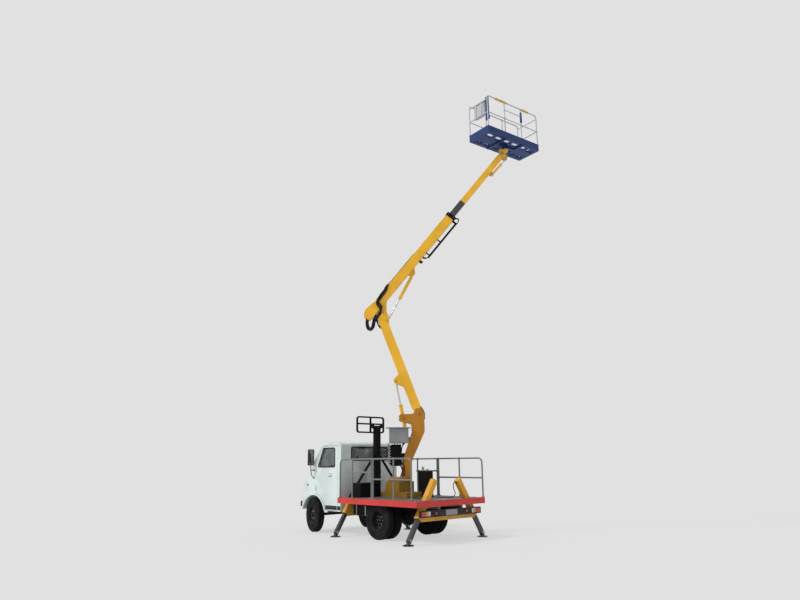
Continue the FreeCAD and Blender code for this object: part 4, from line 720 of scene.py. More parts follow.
for side, sign in (("l", 1), ("r", -1)):
    door, outward = f"door_{side}", (0, sign, 0)
    window = [(x, sign * (DOOR_FACE + 0.001), z) for x, z in SIDE_WINDOW]
    made(f"window_seal_{side}", beading(window, 0.045, oblong(0.022, 0.012, 0.005), outward), trim_rubber,
         door)
    handle_y = sign * (DOOR_FACE - 0.002)
    recess = border((1.648, handle_y, 1.262), (1.772, handle_y, 1.318))
    made(f"handle_recess_{side}", beading(recess, 0.016, oblong(0.008, 0.008, 0.003), outward), black_plastic,
         door)
    made(f"door_lock_{side}", turned(DOOR_LOCK, (1.805, sign * DOOR_FACE, 1.290), outward, 24), ground_steel,
         door)
    made(f"door_sill_{side}", sill(1.655, 0.430, sign), black_plastic, door)

window_rubber = oblong(0.026, 0.012, 0.005)
screen = [on_screen(share, y, 0.001) for share, y in
          ((0.13, -0.695), (0.13, 0.695), (0.94, 0.695), (0.94, -0.695))]
made("screen_seal", beading(screen, 0.03, window_rubber, SCREEN), trim_rubber, "chassis")
rear_window = border((1.298, -0.552, 1.618), (1.298, 0.552, 1.917))
made("rear_window_seal", beading(rear_window, 0.045, window_rubber, (-1, 0, 0)), trim_rubber, "chassis")
made("sills", both(lambda sign: sill(1.362, 0.108, sign)), black_plastic, "chassis")


def wiper(y):
    """Arm from its spindle up the glass, with the blade across its end."""
    arm = [on_screen(1.0, y, 0.016), on_screen(0.93, y + 0.10, 0.036), on_screen(0.72, y + 0.26, 0.020)]
    blade = [on_screen(0.56, y + 0.44, 0.004), on_screen(0.72, y + 0.26, 0.010),
             on_screen(0.88, y + 0.08, 0.004)]
    spindle = [(0, 0.022), (0.012, 0.020), (0.016, 0.010), (0.018, -0.004), (0, -0.004)]
    return joined(carried(flowing(arm, 6), oblong(0.013, 0.007, 0.003), up=SCREEN),
                  carried(flowing(blade, 6), oblong(0.012, 0.016, 0.003), up=SCREEN),
                  turned(spindle, on_screen(1.0, y), SCREEN, 20))


made("wipers", joined(wiper(-0.42), wiper(0.12)), black_plastic, "chassis")


def gutter(sign):
    """Drip rail along the roof's side and down the windscreen's pillar."""
    y = sign * (DOOR_FACE + 0.002)
    line = rounded([(1.335, y, 1.958), (1.70, y, 1.985), (2.025, y, 1.958), (2.44, y, 1.415)], 0.09)
    return carried(line, oblong(0.012, 0.016, 0.004), up=(0, sign, 0))


made("gutters", both(gutter), cab_white, "chassis")

NOSE = unit((0.45, 0.0, 0.04))
NOSE_SLOPE = 0.04 / 0.45
LAMP_Y, LAMP_Z = 0.64, 0.90


def on_nose(y, z, out=0.0):
    """Point of the front panel, which leans back a little above its foot."""
    return np.array([2.79 + (1.05 - z) * NOSE_SLOPE, y, z]) + out * NOSE


LAMP_RIM = [(0.090, 0.038), (0.094, 0.042), (0.102, 0.040), (0.112, 0.010), (0.114, -0.002), (0.090, -0.002),
            (0.090, 0.038)]
LAMP_DOME = [(0.0, 0.026), (0.030, 0.024), (0.060, 0.018), (0.080, 0.009), (0.0885, 0.0), (0.0885, -0.004),
             (0, -0.004)]


def indicator(sign):
    """Lamp beside the headlamp, and the repeater on the cab's side."""
    return joined(block(on_nose(sign * 0.795, LAMP_Z, 0.010), (0.024, 0.062, 0.125), 0.010),
                  block((2.60, sign * (DOOR_FACE + 0.003), 1.06), (0.085, 0.014, 0.036), 0.006))


made("headlamp_rims", both(lambda sign: turned(LAMP_RIM, on_nose(sign * LAMP_Y, LAMP_Z), NOSE, 48)),
     ground_steel, "chassis")
made("headlamp_glasses", both(lambda sign: turned(LAMP_DOME, (2.8445, sign * LAMP_Y, LAMP_Z), (1, 0, 0), 48)),
     lamp_glass, "chassis")
made("front_indicators", both(indicator), lamp_amber, "chassis")
made("grille_bars", joined(*[block(on_nose(0, z, 0.003), (0.016, 0.86, 0.016), 0.006)
                             for z in (0.705, 0.746, 0.786, 0.827)]), black_plastic, "chassis")
grille = [on_nose(y, z) for y, z in ((-0.455, 0.694), (0.455, 0.694), (0.455, 0.838), (-0.455, 0.838))]
made("grille_frame", beading(grille, 0.03, oblong(0.018, 0.016, 0.005), NOSE), black_plastic, "chassis")
made("front_panel_line", carried([on_nose(-0.50, 1.035), on_nose(0.50, 1.035)], oblong(0.006, 0.004, 0.0015),
                                 up=NOSE), trim_rubber, "chassis")

MIRROR_X, MIRROR_Y, MIRROR_Z = 2.35, 0.945, 1.695


def mirror(sign):
    """Back of the mirror's housing, the lower stay, and the stays' feet on the cab's side."""
    y, side = sign * MIRROR_Y, sign * DOOR_FACE
    stay = [(MIRROR_X, sign * (DOOR_FACE - 0.002), 1.22), (MIRROR_X + 0.002, sign * 0.91, 1.27),
            (MIRROR_X + 0.002, y, 1.40)]
    upper_foot = [(0, 0.012), (0.020, 0.010), (0.024, 0.0), (0.024, -0.003), (0, -0.003)]
    lower_foot = [(0, 0.010), (0.016, 0.008), (0.020, 0.0), (0.020, -0.003), (0, -0.003)]
    return joined(block((MIRROR_X + 0.002, y, MIRROR_Z), (0.056, 0.166, 0.376), 0.022),
                  carried(flowing(stay), circle(0.009), up=(1, 0, 0)),
                  turned(upper_foot, (MIRROR_X, side, 1.40), (0, sign, 0), 24),
                  turned(lower_foot, (MIRROR_X, side, 1.22), (0, sign, 0), 24))


made("mirror_shells", both(mirror), black_plastic, "chassis")
made("mirror_glasses", both(lambda sign: block((MIRROR_X - 0.0265, sign * MIRROR_Y, MIRROR_Z),
                                               (0.004, 0.140, 0.345), 0.0015)),
     mirror_glass, "chassis")

LAMP_BAR_X, LAMP_BAR_Z = -1.318, 0.570


def rear_lamp(y, wide, high=0.090, deep=0.016, radius=0.007):
    """The same lamp on the left and on the right of the bar behind the rear axle."""
    return both(lambda sign: block((LAMP_BAR_X, sign * y, LAMP_BAR_Z), (deep, wide, high), radius))


made("rear_lamps_red", joined(rear_lamp(0.80, 0.120), rear_lamp(0.45, 0.050, 0.050, 0.014, 0.006)), lamp_red,
     "chassis")
made("rear_lamps_amber", rear_lamp(0.705, 0.060), lamp_amber, "chassis")
made("rear_lamps_white", rear_lamp(0.640, 0.060), lamp_glass, "chassis")
made("rear_plate", block((LAMP_BAR_X + 0.0015, 0.0, LAMP_BAR_Z), (0.005, 0.340, 0.110), 0.002), cabinet_grey,
     "chassis")


# Inside the cab

def cushion(centre, size, lean, seams, crown=0.30, power=3.2, rows=49, columns=65):
    """Crowned cushion: a box-like oval |x/a|^p + |y/b|^p = 1 for each height, domed by 1 - r^2.6, with sewn
    channels pressed in along its length and piping round its edge; leaned back by an angle."""
    wide, deep, thick = (value / 2 for value in size)
    edge, channel_half, channel_depth, piping_high = 0.93, 0.010, 0.014, 0.006
    radius = np.linspace(0.0, 1.0, rows)[:, None]
    angle = np.linspace(0, 2 * np.pi, columns, endpoint=False)[None, :]
    squared = (np.abs(np.cos(angle)) ** power + np.abs(np.sin(angle)) ** power) ** (-1 / power)
    reach = squared * (1 - 0.025 * np.cos(2 * angle) ** 2) * radius
    across, along = wide * reach * np.cos(angle), deep * reach * np.sin(angle)
    dome = np.sqrt(np.clip(1 - radius ** 2.6, 0, 1))
    channel = sum(np.exp(-((across - wide * place) / channel_half) ** 2) for place in seams)
    piping = piping_high * np.exp(-((radius - edge) / 0.02) ** 2)
    top = thick * ((1 - crown) * dome ** 0.5 + crown * dome) - channel_depth * channel * (radius < edge)
    bottom = -thick * dome ** 0.4
    above = np.stack([along, across, top + piping + 0 * angle], -1)
    below = np.stack([along, across, bottom + 0 * angle], -1)
    points = np.concatenate([above, below[::-1]]).reshape(-1, 3)
    turn = math.radians(lean)
    spin = np.array([[math.cos(turn), 0, math.sin(turn)], [0, 1, 0], [-math.sin(turn), 0, math.cos(turn)]])
    return points @ spin + np.asarray(centre), quads(2 * rows, columns)


SEAT_Y, SEAMS = 0.455, (-0.38, 0.0, 0.38)
SQUAB_LEAN, BACK_LEAN = 4, -80


def seat(sign):
    """Squab, back and head rest."""
    y = sign * SEAT_Y
    return joined(cushion((1.665, y, 1.190), (0.50, 0.44, 0.15), SQUAB_LEAN, SEAMS),
                  cushion((1.475, y, 1.475), (0.47, 0.52, 0.12), BACK_LEAN, SEAMS),
                  cushion((1.425, y, 1.800), (0.30, 0.15, 0.09), BACK_LEAN, ()))


cushions = made("seat_cushions", both(seat), seat_cloth, "chassis", ["seats"], 60)


def seat_frame(sign):
    """Box base, the back's board and the two posts of the head rest."""
    y = sign * SEAT_Y
    posts = [carried([(1.440, y + side, 1.70), (1.428, y + side, 1.76)], circle(0.006, 10), up=(1, 0, 0))
             for side in (-0.05, 0.05)]
    return joined(block((1.650, y, 1.010), (0.40, 0.44, 0.215), 0.015),
                  block((1.405, y, 1.45), (0.020, 0.40, 0.55), 0.009), *posts)


made("seat_frames", both(seat_frame), black_plastic, "chassis")


def dial(y, radius):
    """Round instrument with a raised rim, looking at the driver."""
    profile = [(0, 0.002), (radius * 0.86, 0.002), (radius * 0.90, 0.010), (radius, 0.010), (radius, -0.004),
               (0, -0.004)]
    return turned(profile, (2.309, y, 1.345), (-0.85, 0, 0.5))


made("binnacle", joined(
    block((2.345, 0.39, 1.405), (0.13, 0.36, 0.07), 0.03),
    *[dial(y, 0.045) for y in (0.33, 0.45)], *[dial(y, 0.022) for y in (0.25, 0.53)],
    *[block((2.303, y, 1.290), (0.012, 0.10, 0.045), 0.005) for y in (-0.05, 0.08, -0.62)]),
     black_plastic, "chassis")

LEVER_X, LEVER_Z = 2.02, 0.90
GEAR_BOOT = [(0.060, 0.0), (0.045, 0.02), (0.030, 0.035), (0.010, 0.060), (0.0, 0.060), (0, 0)]
lever_line = flowing([(LEVER_X, 0.0, LEVER_Z - 0.005), (2.00, 0.0, 1.05), (1.96, 0.0, 1.16)])
made("gear_lever", joined(carried(lever_line, circle(0.008, 10), up=(0, 1, 0)),
                          block((1.955, 0.0, 1.175), (0.045, 0.040, 0.050), 0.018),
                          turned(GEAR_BOOT, (LEVER_X, 0.0, LEVER_Z), UP, 24)),
     black_plastic, "chassis")

COLUMN_LEAN = math.radians(-38)
HORN_PAD = [(0, 0.030), (0.030, 0.028), (0.052, 0.020), (0.060, 0.008), (0.060, -0.006), (0, -0.006)]
column = np.array([math.sin(COLUMN_LEAN), 0, math.cos(COLUMN_LEAN)])
made("horn_pad", turned(HORN_PAD, np.array((2.08, 0.39, 1.39)) + column * 0.008, column), black_plastic,
     "chassis")


# Underside

SPRING_Y, REAR_AXLE_X, FRONT_AXLE_X = 0.33, place_of("roll_rear_left")[0], place_of("steer_left")[0]


def spring_clamp(x, sign):
    """U-bolts round the leaves over the axle, and the plate under their nuts."""
    y = sign * SPRING_Y
    hoops = [carried(rounded([(x + end, y - 0.043, 0.400), (x + end, y - 0.043, 0.488),
                              (x + end, y + 0.043, 0.488), (x + end, y + 0.043, 0.400)], 0.02, 5),
                     circle(0.007, 10), up=(1, 0, 0)) for end in (-0.045, 0.045)]
    return joined(*hoops, block((x, y, 0.478), (0.13, 0.075, 0.012), 0.004))


def leaves(x, half, sign):
    """Shorter leaves under the main one, each ending a little further in; flat over the axle, then rising."""
    flat, rise, leaf = 0.09, 0.062, 0.006
    lines = []
    for step, share in enumerate((0.80, 0.62, 0.44)):
        run = np.linspace(-half * share, half * share, 21)
        height = 0.4375 + rise * np.clip((np.abs(run) - flat) / (half - flat), 0, 1) - leaf * step
        lines.append(np.stack([x + run, np.full(21, sign * SPRING_Y), height], -1))
    return joined(*[carried(line, oblong(0.058, leaf, 0.002)) for line in lines])


clamps = [spring_clamp(x, sign) for x in (REAR_AXLE_X, FRONT_AXLE_X) for sign in (1, -1)]
made("spring_clamps", joined(*clamps), ground_steel, "chassis")
springs = [leaves(x, half, sign) for x, half in ((REAR_AXLE_X, 0.55), (FRONT_AXLE_X, 0.40))
           for sign in (1, -1)]
made("spring_leaves", joined(*springs), chassis_black, "chassis", (), 25)


def tank_strap(x):
    """Band round the fuel tank, flat on its skin."""
    low, high = (np.array(corner) * (0, 1, 1) + (x, 0, 0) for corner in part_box("fuel_tank"))
    skin = np.array([0, 0.002, 0.002])
    return beading(border(low - skin, high + skin), 0.05, oblong(0.004, 0.030, 0.0015), (1, 0, 0))


FUEL_CAP = [(0, 0.030), (0.028, 0.028), (0.034, 0.022), (0.034, 0.006), (0.026, 0.0), (0.026, -0.012),
            (0, -0.012)]
BRAKE_PIPE = np.array([(2.35, 0.30, 0.45), (2.20, 0.285, 0.55), (1.9, 0.285, 0.585), (1.2, 0.285, 0.585),
                       (0.45, 0.285, 0.585), (0.12, 0.285, 0.56), (0.03, 0.25, 0.45)])
made("fuel_tank_straps", joined(tank_strap(0.60), tank_strap(0.91)), ground_steel, "chassis")
made("fuel_cap", turned(FUEL_CAP, (0.76, 0.690, 0.655), (0, 0.8, 0.6)), black_plastic, "chassis")
made("brake_pipes", both(lambda sign: carried(flowing(BRAKE_PIPE * (1, sign, 1), 10), circle(0.005, 8))),
     chassis_black, "chassis")


# Deck and its fittings

EDGE_LOW, EDGE_HIGH = (np.array(corner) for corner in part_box("deck_edge"))
DECK_TOP = EDGE_HIGH[2]
ALONG_DECK, ACROSS_DECK = np.linspace(-1.27, 1.12, 13), np.linspace(-0.93, 0.93, 9)
RIVET = [(0, 0.005), (0.007, 0.004), (0.010, 0.0), (0.010, -0.002), (0, -0.002)]


def spots(xs, ys, z):
    """Every pair of an x and a y, at one height."""
    return np.stack([np.repeat(xs, len(ys)), np.tile(ys, len(xs)), np.full(len(xs) * len(ys), z)], -1)


def level_ring(centre, radius, count, start=0.0):
    """Equal places on a level circle, counted from +X."""
    angle = start + np.arange(count) * 2 * np.pi / count
    return np.asarray(centre) + radius * np.stack([np.cos(angle), np.sin(angle), 0 * angle], -1)


bolt_y, rivet_y = EDGE_HIGH[1] - 0.036, EDGE_HIGH[1] + 0.0005
bolt_places = [spots(ALONG_DECK, [-bolt_y, bolt_y], DECK_TOP),
               spots([EDGE_LOW[0] + 0.022, EDGE_HIGH[0] - 0.022], ACROSS_DECK, DECK_TOP)]
made("deck_bolts", bolts(np.concatenate(bolt_places), UP, 0.018, 0.008), ground_steel, "chassis")
made("edge_rivets", joined(*[turned(RIVET, place, (0, place[1], 0), 10)
                             for place in spots(ALONG_DECK, [rivet_y, -rivet_y], DECK_TOP - 0.06)]),
     deck_red, "chassis")

RAIL_Y = 0.989
POSTS = (-0.65, -0.0038, 0.0438, 0.70, 1.132)
CORNER_POSTS = [(-1.1815, RAIL_Y), (-1.319, -RAIL_Y)]
RAIL_JOINTS = [(-0.65, 1.22), (0.70, 1.36), (-0.0038, 1.22), (0.0438, 1.36), (-0.65, 1.635), (0.70, 1.635),
               (0.02, 1.635)]
FOOT_COLLAR = [(0.0165, 0.034), (0.0215, 0.030), (0.0225, 0.0), (0.0165, 0.0), (0.0165, 0.034)]


def post_foot(x, y):
    """Square flange with four bolts, and the collar round the post's foot."""
    corners = spots([x - 0.022, x + 0.022], [y - 0.022, y + 0.010], DECK_TOP + 0.006)
    return joined(block((x, y - math.copysign(0.004, y), DECK_TOP + 0.0035), (0.062, 0.046, 0.007), 0.002),
                  turned(FOOT_COLLAR, (x, y, DECK_TOP + 0.005), UP, 20), bolts(corners, UP, 0.009, 0.005))


def sleeve(place, axis, length=0.05, radius=0.017):
    """Thin sleeve over a joint of two rails, chamfered at both its ends."""
    half, thin, thick = length / 2, radius + 0.004, radius + 0.0055
    return turned([(radius - 0.001, -half), (thin, -half), (thick, -half + 0.004), (thick, half - 0.004),
                   (thin, half), (radius - 0.001, half), (radius - 0.001, -half)], place, axis, 20)


feet = [(x, sign * RAIL_Y) for x in POSTS for sign in (1, -1)] + CORNER_POSTS
made("railing_feet", joined(*[post_foot(x, y) for x, y in feet]), rail_grey, "chassis")
made("railing_sleeves", joined(*[sleeve((x, sign * RAIL_Y, z), (1, 0, 0), 0.06) for sign in (1, -1)
                                 for x, z in RAIL_JOINTS]), rail_grey, "chassis")


# Outriggers: each leg's own frame has x forward, y square to the leg and z up its slope, from its foot's pin

LEG_LEAN, LEG_FOOT, MOUTH = math.radians(33), 0.064, 0.495
HOSE_NUT = [(0, 0.016), (0.010, 0.016), (0.014, 0.010), (0.014, -0.004), (0, -0.004)]
PAD_PIN = [(0, 0.045), (0.026, 0.045), (0.026, -0.045), (0, -0.045)]
pads = {mount["name"]: np.array(mount["pos_m"]) for mount in frame["record"]["mounts"]}


def leg_frame(pad, sign):
    """Frame at a leg's foot pin, its slope leaning in from upright by the legs' angle."""
    slope = np.array([0, -sign * math.sin(LEG_LEAN), math.cos(LEG_LEAN)])
    square = np.array([0, sign * math.cos(LEG_LEAN), math.sin(LEG_LEAN)])
    return Frame(pad + UP * LEG_FOOT, [(1, 0, 0), square, slope])


def square_of(half, height):
    """Corners of a square across a leg, in turn."""
    return [(a * half, b * half, height) for a, b in ((-1, -1), (1, -1), (1, 1), (-1, 1))]


def leg_hose(leg, top, pad, sign):
    """Hose from the cylinder's head down to the deck and in to the pedestal, with its nut."""
    start = leg.at((0, -0.066, top))
    loop = leg.at([(0, -0.078, top + 0.03), (0.05, -0.102, top + 0.02), (0.10, -0.114, top - 0.10)])
    on_deck = [(pad[0] + 0.17, sign * 0.45, 0.90), (pad[0] + 0.26, sign * 0.40, DECK_TOP + 0.011),
               (pad[0] + 0.60, sign * 0.30, DECK_TOP + 0.009), (0.04, sign * 0.14, DECK_TOP + 0.009)]
    return joined(carried(flowing([start, *loop, *on_deck], 12), circle(0.008, 10), up=(0.3, 1, 0.2)),
                  turned(HOSE_NUT, start, leg.over, 6))


for end, housing in (("rear", 1.350), ("front", 0.825)):
    for hand, sign in (("left", 1), ("right", -1)):
        name, pad = f"{end}_{hand[0]}", pads[f"pad_{end}_{hand}"]
        leg = leg_frame(pad, sign)
        made(f"housing_bands_{name}", joined(
            beading(leg.at(square_of(0.058, MOUTH)), 0.012, oblong(0.010, 0.040, 0.003), leg.over),
            leg.block((0, 0, housing), (0.120, 0.120, 0.012)),
            bolts(leg.at(square_of(0.04, housing + 0.005)), leg.over, 0.014, 0.007)),
             worn_yellow, "chassis")
        made(f"pad_bolts_{name}", joined(
            bolts(level_ring(pad + UP * 0.019, 0.078, 6), UP, 0.018, 0.008),
            turned(PAD_PIN, leg.at((0, 0, 0.045)), (1, 0, 0), 24)),
             ground_steel, f"leg_{end[0]}{hand[0]}")
        if end == "rear":
            made(f"leg_cylinder_hose_{hand[0]}", leg_hose(leg, housing - 0.05, pad, sign), hose_rubber,
                 "chassis")


# Toolbox, tank and boom rest

BOX_LOW, BOX_HIGH = (np.array(corner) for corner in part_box("toolbox"))
box_middle = (BOX_LOW + BOX_HIGH) / 2
FITTING_Y = (0.30, 0.64)
box_handle = rounded([(x, y, 0.99) for x, y in ((0.700, 0.42), (0.672, 0.42), (0.672, 0.52), (0.700, 0.52))],
                     0.012)
made("toolbox_fittings", joined(
    block((box_middle[0], box_middle[1], BOX_HIGH[2] - 0.0035), (0.292, 0.592, 0.012), 0.004),
    *[block((BOX_LOW[0] - 0.003, y, 1.075), (0.010, 0.040, 0.060), 0.004) for y in FITTING_Y],
    carried(box_handle, circle(0.006, 10)),
    *[turned([(0.008, -0.035), (0.008, 0.035), (0, 0.035)], (BOX_HIGH[0] + 0.005, y, 1.112), (0, 1, 0), 12)
      for y in FITTING_Y]), chassis_black, "chassis")

TANK_Y, TANK_TOP = -0.333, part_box("hydraulic_tank")[1][2]
FILLER = [(0.052, -0.002), (0.052, 0.010), (0.040, 0.014), (0.040, 0.034), (0.034, 0.040), (0, 0.041),
          (0, -0.002)]
BREATHER = [(0.022, -0.002), (0.022, 0.030), (0.030, 0.034), (0.030, 0.085), (0.022, 0.092), (0, 0.092),
            (0, -0.002)]
made("tank_fittings", joined(turned(FILLER, (-0.30, TANK_Y, TANK_TOP), UP, 36),
                             turned(BREATHER, (-0.16, TANK_Y, TANK_TOP), UP),
                             block((-0.3825, TANK_Y, 1.10), (0.008, 0.030, 0.190), 0.003)),
     ground_steel, "chassis")

MAST_X, MAST_FOOT = 1.035, DECK_TOP + 0.012


def gusset(direction):
    """Upright plate between the mast and its foot, its outer edge cut down to a slope."""
    out, thick = np.array([*direction, 0.0]), 0.004
    corners = np.array([(0.064, 0), (0.112, 0), (0.112, 0.012), (0.064, 0.10)])
    outline = np.array([MAST_X, 0, MAST_FOOT]) + corners[:, :1] * out + corners[:, 1:] * UP
    across = np.cross(out, UP) * thick
    return np.concatenate([outline - across, outline + across]), [[0, 1, 2, 3], [4, 5, 6, 7]] + quads(2, 4)


foot_bolts = bolts(spots([MAST_X - 0.10, MAST_X + 0.10], [-0.10, 0.10], MAST_FOOT), UP, 0.024, 0.014)
made("rest_foot", joined(foot_bolts, *[gusset(way) for way in ((1, 0), (-1, 0), (0, 1), (0, -1))]),
     chassis_black, "chassis")
made("rest_pad", block((MAST_X, 0, 2.395), (0.085, 0.236, 0.016), 0.006), trim_rubber, "chassis")


# Slewing base and turret

RING_TOP, TEETH, TOOTH_HIGH, TOOTH_ROOT = 1.240, 80, 0.006, 0.2405
MOTOR = np.array([0.565, 0.0, 1.130])
MOTOR_BODY = [(0.058, 0.0), (0.062, 0.004), (0.062, 0.018), (0.046, 0.024), (0.046, 0.075), (0.036, 0.082),
              (0, 0.082), (0, 0.0)]


def slew_gear(steps=480):
    """Ring (r cos a, r sin a) about the slew axis at four heights; r steps out at every tooth, and the top
    and bottom rings are a tooth's height further in."""
    angle = np.linspace(0, 2 * np.pi, steps, endpoint=False)
    rim = TOOTH_ROOT + TOOTH_HIGH * (angle * TEETH / (2 * np.pi) % 1 < 0.5)
    radius = np.stack([rim - TOOTH_HIGH, rim, rim, rim - TOOTH_HIGH])
    height = np.array([1.158, 1.162, 1.200, 1.204])[:, None] + 0 * radius
    points = SLEW + np.stack([radius * np.cos(angle), radius * np.sin(angle), height], -1)
    ends = [list(range(steps)), list(range(3 * steps, 4 * steps))]
    return points.reshape(-1, 3), quads(4, steps) + ends


made("ring_bolts", bolts(level_ring(SLEW + UP * RING_TOP, 0.230, 24), UP), ground_steel, "turret")
made("slew_teeth", slew_gear(), ground_steel, "chassis")
made("base_bolts", bolts(spots([-0.20, -0.05, 0.10, 0.30, 0.45, 0.60], [-0.205, 0.205], 0.927), UP, 0.022),
     ground_steel, "chassis")
made("slew_motor", joined(turned(MOTOR_BODY, MOTOR, UP, 36),
                          bolts(level_ring(MOTOR + UP * 0.017, 0.052, 4, 0.8), UP, 0.014, 0.008)),
     chassis_black, "chassis")


def pin_cap(body_frame, pin, side, cheek, radius, proud):
    """Washer, pin's head, keeper plate and its two bolts, on the cheek at one side of a pin."""
    x, z = pin
    axis, plate, above = LEFT * side, cheek + proud * 0.6, z + radius * 0.9
    head = [(radius, -0.002), (radius, proud * 0.35), (radius * 0.72, proud * 0.45), (radius * 0.66, proud),
            (radius * 0.56, proud * 1.15), (0, proud * 1.15), (0, -0.002)]
    return joined(turned(head, body_frame.at((x, side * cheek, z)), axis, 36),
                  body_frame.block((x, side * plate, above), (0.070, 0.006, 0.022), 0.002),
                  bolts(body_frame.at([(x + end, side * (plate + 0.003), above) for end in (-0.022, 0.022)]),
                        axis, 0.014, 0.006))


def pin_caps(body_frame, *pins):
    """Caps on both sides of each pin: its place along and over the frame, its cheek, radius and height."""
    return joined(*[pin_cap(body_frame, pin, side, *sizes) for pin, *sizes in pins for side in (1, -1)])


def seen_from(body_frame, joint):
    """Place of a joint's axis along and over a frame."""
    return (body_frame.axes @ (place_of(joint) - body_frame.start))[[0, 2]]


BOOM_PIVOT, LIFT_FOOT = (seen_from(turret, joint) for joint in ("lower_lift", "lift_barrel_swing"))
# The pivot's pin caps take the post's darker yellow, which holds painted shade.
made("pivot_caps", pin_caps(turret, (BOOM_PIVOT, 0.0875, 0.050, 0.0135), (LIFT_FOOT, 0.0875, 0.036, 0.012)),
     post_yellow, "turret")

HINGE = [(0.008, -0.03), (0.008, 0.03), (0, 0.03)]
GLAND = [(0, -0.002), (0.014, -0.002), (0.014, 0.012), (0.010, 0.022), (0, 0.022)]


def cabinet_door(side):
    """Door's rim, its latch and two hinges on one side of the cabinet."""
    rim = turret.at(border((-0.205, side * 0.2115, 2.005), (0.175, side * 0.2115, 2.295)))
    return joined(beading(rim, 0.02, oblong(0.008, 0.006, 0.002), LEFT * side),
                  turret.block((0.150, side * 0.215, 2.15), (0.024, 0.012, 0.070), 0.005),
                  *[turned(HINGE, turret.at((-0.214, side * 0.213, z)), UP, 12) for z in (2.06, 2.24)])


glands = [turned(GLAND, turret.at((-0.10 + 0.06 * row, 0.1, 1.981)), -UP, 16) for row in range(4)]
made("cabinet_fittings", joined(both(cabinet_door), *glands), cabinet_grey, "turret")

VALVE_FOOT, VALVE_STEP = 1.53, 0.062
KNOB = [(0, -0.012), (0.009, -0.008), (0.011, 0.0), (0.009, 0.008), (0, 0.012)]


def valve_section(row):
    """One section of the valve with its levers, their knobs and the nuts of its ports."""
    z = VALVE_FOOT + row * VALVE_STEP
    parts = [turret.block((-0.204, 0.0, z), (0.032, 0.150, 0.048), 0.006)]
    for side in (1, -1):
        lever = flowing(turret.at([(-0.21, side * 0.075, z), (-0.235, side * 0.105, z + 0.02),
                                   (-0.262, side * 0.125, z + 0.065)]), 6)
        parts += [carried(lever, circle(0.0045, 8), up=LEFT), turned(KNOB, lever[-1], UP, 14),
                  bolts(turret.at((0.0, side * 0.110, z)), LEFT * side, 0.026, 0.016)]
    return joined(*parts)


made("valve_levers", joined(*[valve_section(row) for row in range(7)]), chassis_black, "turret")


def valve_hose(side, row):
    """From a port down behind the valve to the swivel in the slew ring."""
    return turret.hose([(0.0, side * 0.122, VALVE_FOOT + row * VALVE_STEP),
                        (0.02 + 0.008 * row, side * (0.150 + 0.004 * row), 1.50 + row * 0.050),
                        (0.06 + 0.012 * row, side * (0.118 + 0.004 * row), 1.38),
                        (0.03 + 0.016 * row, side * 0.110, 1.27), (0.02 + 0.016 * row, side * 0.06, 1.235)])


def rising_hose(lane):
    """From the valve up the post's far side to the clip below the pivot."""
    return turret.hose([(0.03, 0.124 + 0.004 * lane, 1.80 - 0.10 * lane), (0.10, 0.135, 1.95 + 0.02 * lane),
                        (0.30 + 0.02 * lane, 0.105 + 0.004 * lane, 2.12), (0.42 + 0.03 * lane, 0.098, 2.28),
                        (0.50 + 0.024 * lane, 0.098, 2.44)])


made("turret_hoses", joined(*[valve_hose(side, row) for side in (1, -1) for row in (0, 2, 4)],
                            *[rising_hose(lane) for lane in range(3)]), hose_rubber, "turret")
made("turret_hose_clip", joined(turret.block((0.45, 0.094, 2.295), (0.12, 0.022, 0.018)),
                                turret.block((0.524, 0.094, 2.44), (0.10, 0.022, 0.018))),
     ground_steel, "turret")


# Booms: places in their own frames, along, to the left and over

LANES = (-0.030, 0.0, 0.030)
PIPE_Y = 0.079
ELBOW, ELBOW_FOOT = seen_from(lower, "upper_lift"), seen_from(upper, "elbow_barrel_swing")
LEVEL_FOOT = seen_from(upper, "level_barrel_swing")
LIFT_EYE, ELBOW_EYE, LEVEL_EYE = (0.874, 0.222), (2.259, -0.110), (0.0987, -0.113)


def lower_pipes():
    """Three steel pipes along the lower boom's far face, with their clips and end nuts."""
    pipes = [carried(lower.at([(0.36, PIPE_Y, lane), (2.10, PIPE_Y, lane)]), circle(0.007, 10), up=LEFT)
             for lane in LANES]
    clips = [lower.block((x, 0.078, 0.0), (0.024, 0.022, 0.096)) for x in (0.42, 0.98, 1.54, 2.05)]
    nuts = [bolts(lower.at((x, PIPE_Y, lane)), lower.along * way, 0.022, 0.024)
            for lane in LANES for x, way in ((0.365, -1), (2.095, 1))]
    return joined(*pipes, *clips, *nuts)


made("lower_boom_pipes", lower_pipes(), ground_steel, "lower_boom")
made("lower_boom_caps", pin_caps(lower, (ELBOW, 0.0805, 0.040, 0.012), (ELBOW_EYE, 0.0805, 0.030, 0.010),
                                 (LIFT_EYE, 0.0535, 0.030, 0.010)), worn_yellow, "lower_boom")


def boom_welds(boom, start, end, half, heights):
    """Weld beads along a boom's four corners, rippled by a sine along their run."""
    run = np.linspace(start, end, 60)
    lines = [np.stack([run, 0 * run + side * half, height + 0.0008 * np.sin(run * 260)], -1)
             for height in heights for side in (1, -1)]
    return joined(*[carried(boom.at(line), circle(0.0045, 8), up=LEFT) for line in lines])


made("lower_boom_welds", boom_welds(lower, 0.60, 2.15, 0.0675, (0.0985, -0.0985)), boom_yellow, "lower_boom")
made("upper_boom_welds", boom_welds(upper, 0.12, 2.84, 0.0725, (0.0965, 0.3035)), boom_yellow, "upper_boom")


# Hoses over the pivot on the far side, over the elbow to the near side, and the loop under the tail

def bent_hose(name, points, radius, bodies, start, end):
    """Hose through the points, made on the first of the bodies, then let go of it and fixed where it stands; the
    second body, start and end are not used.
    """
    shape = carried(flowing(points, 12), circle(radius, 10), up=LEFT)
    hose = made(name, shape, hose_rubber, bodies[0])
    hose.parent = None
    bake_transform(hose)


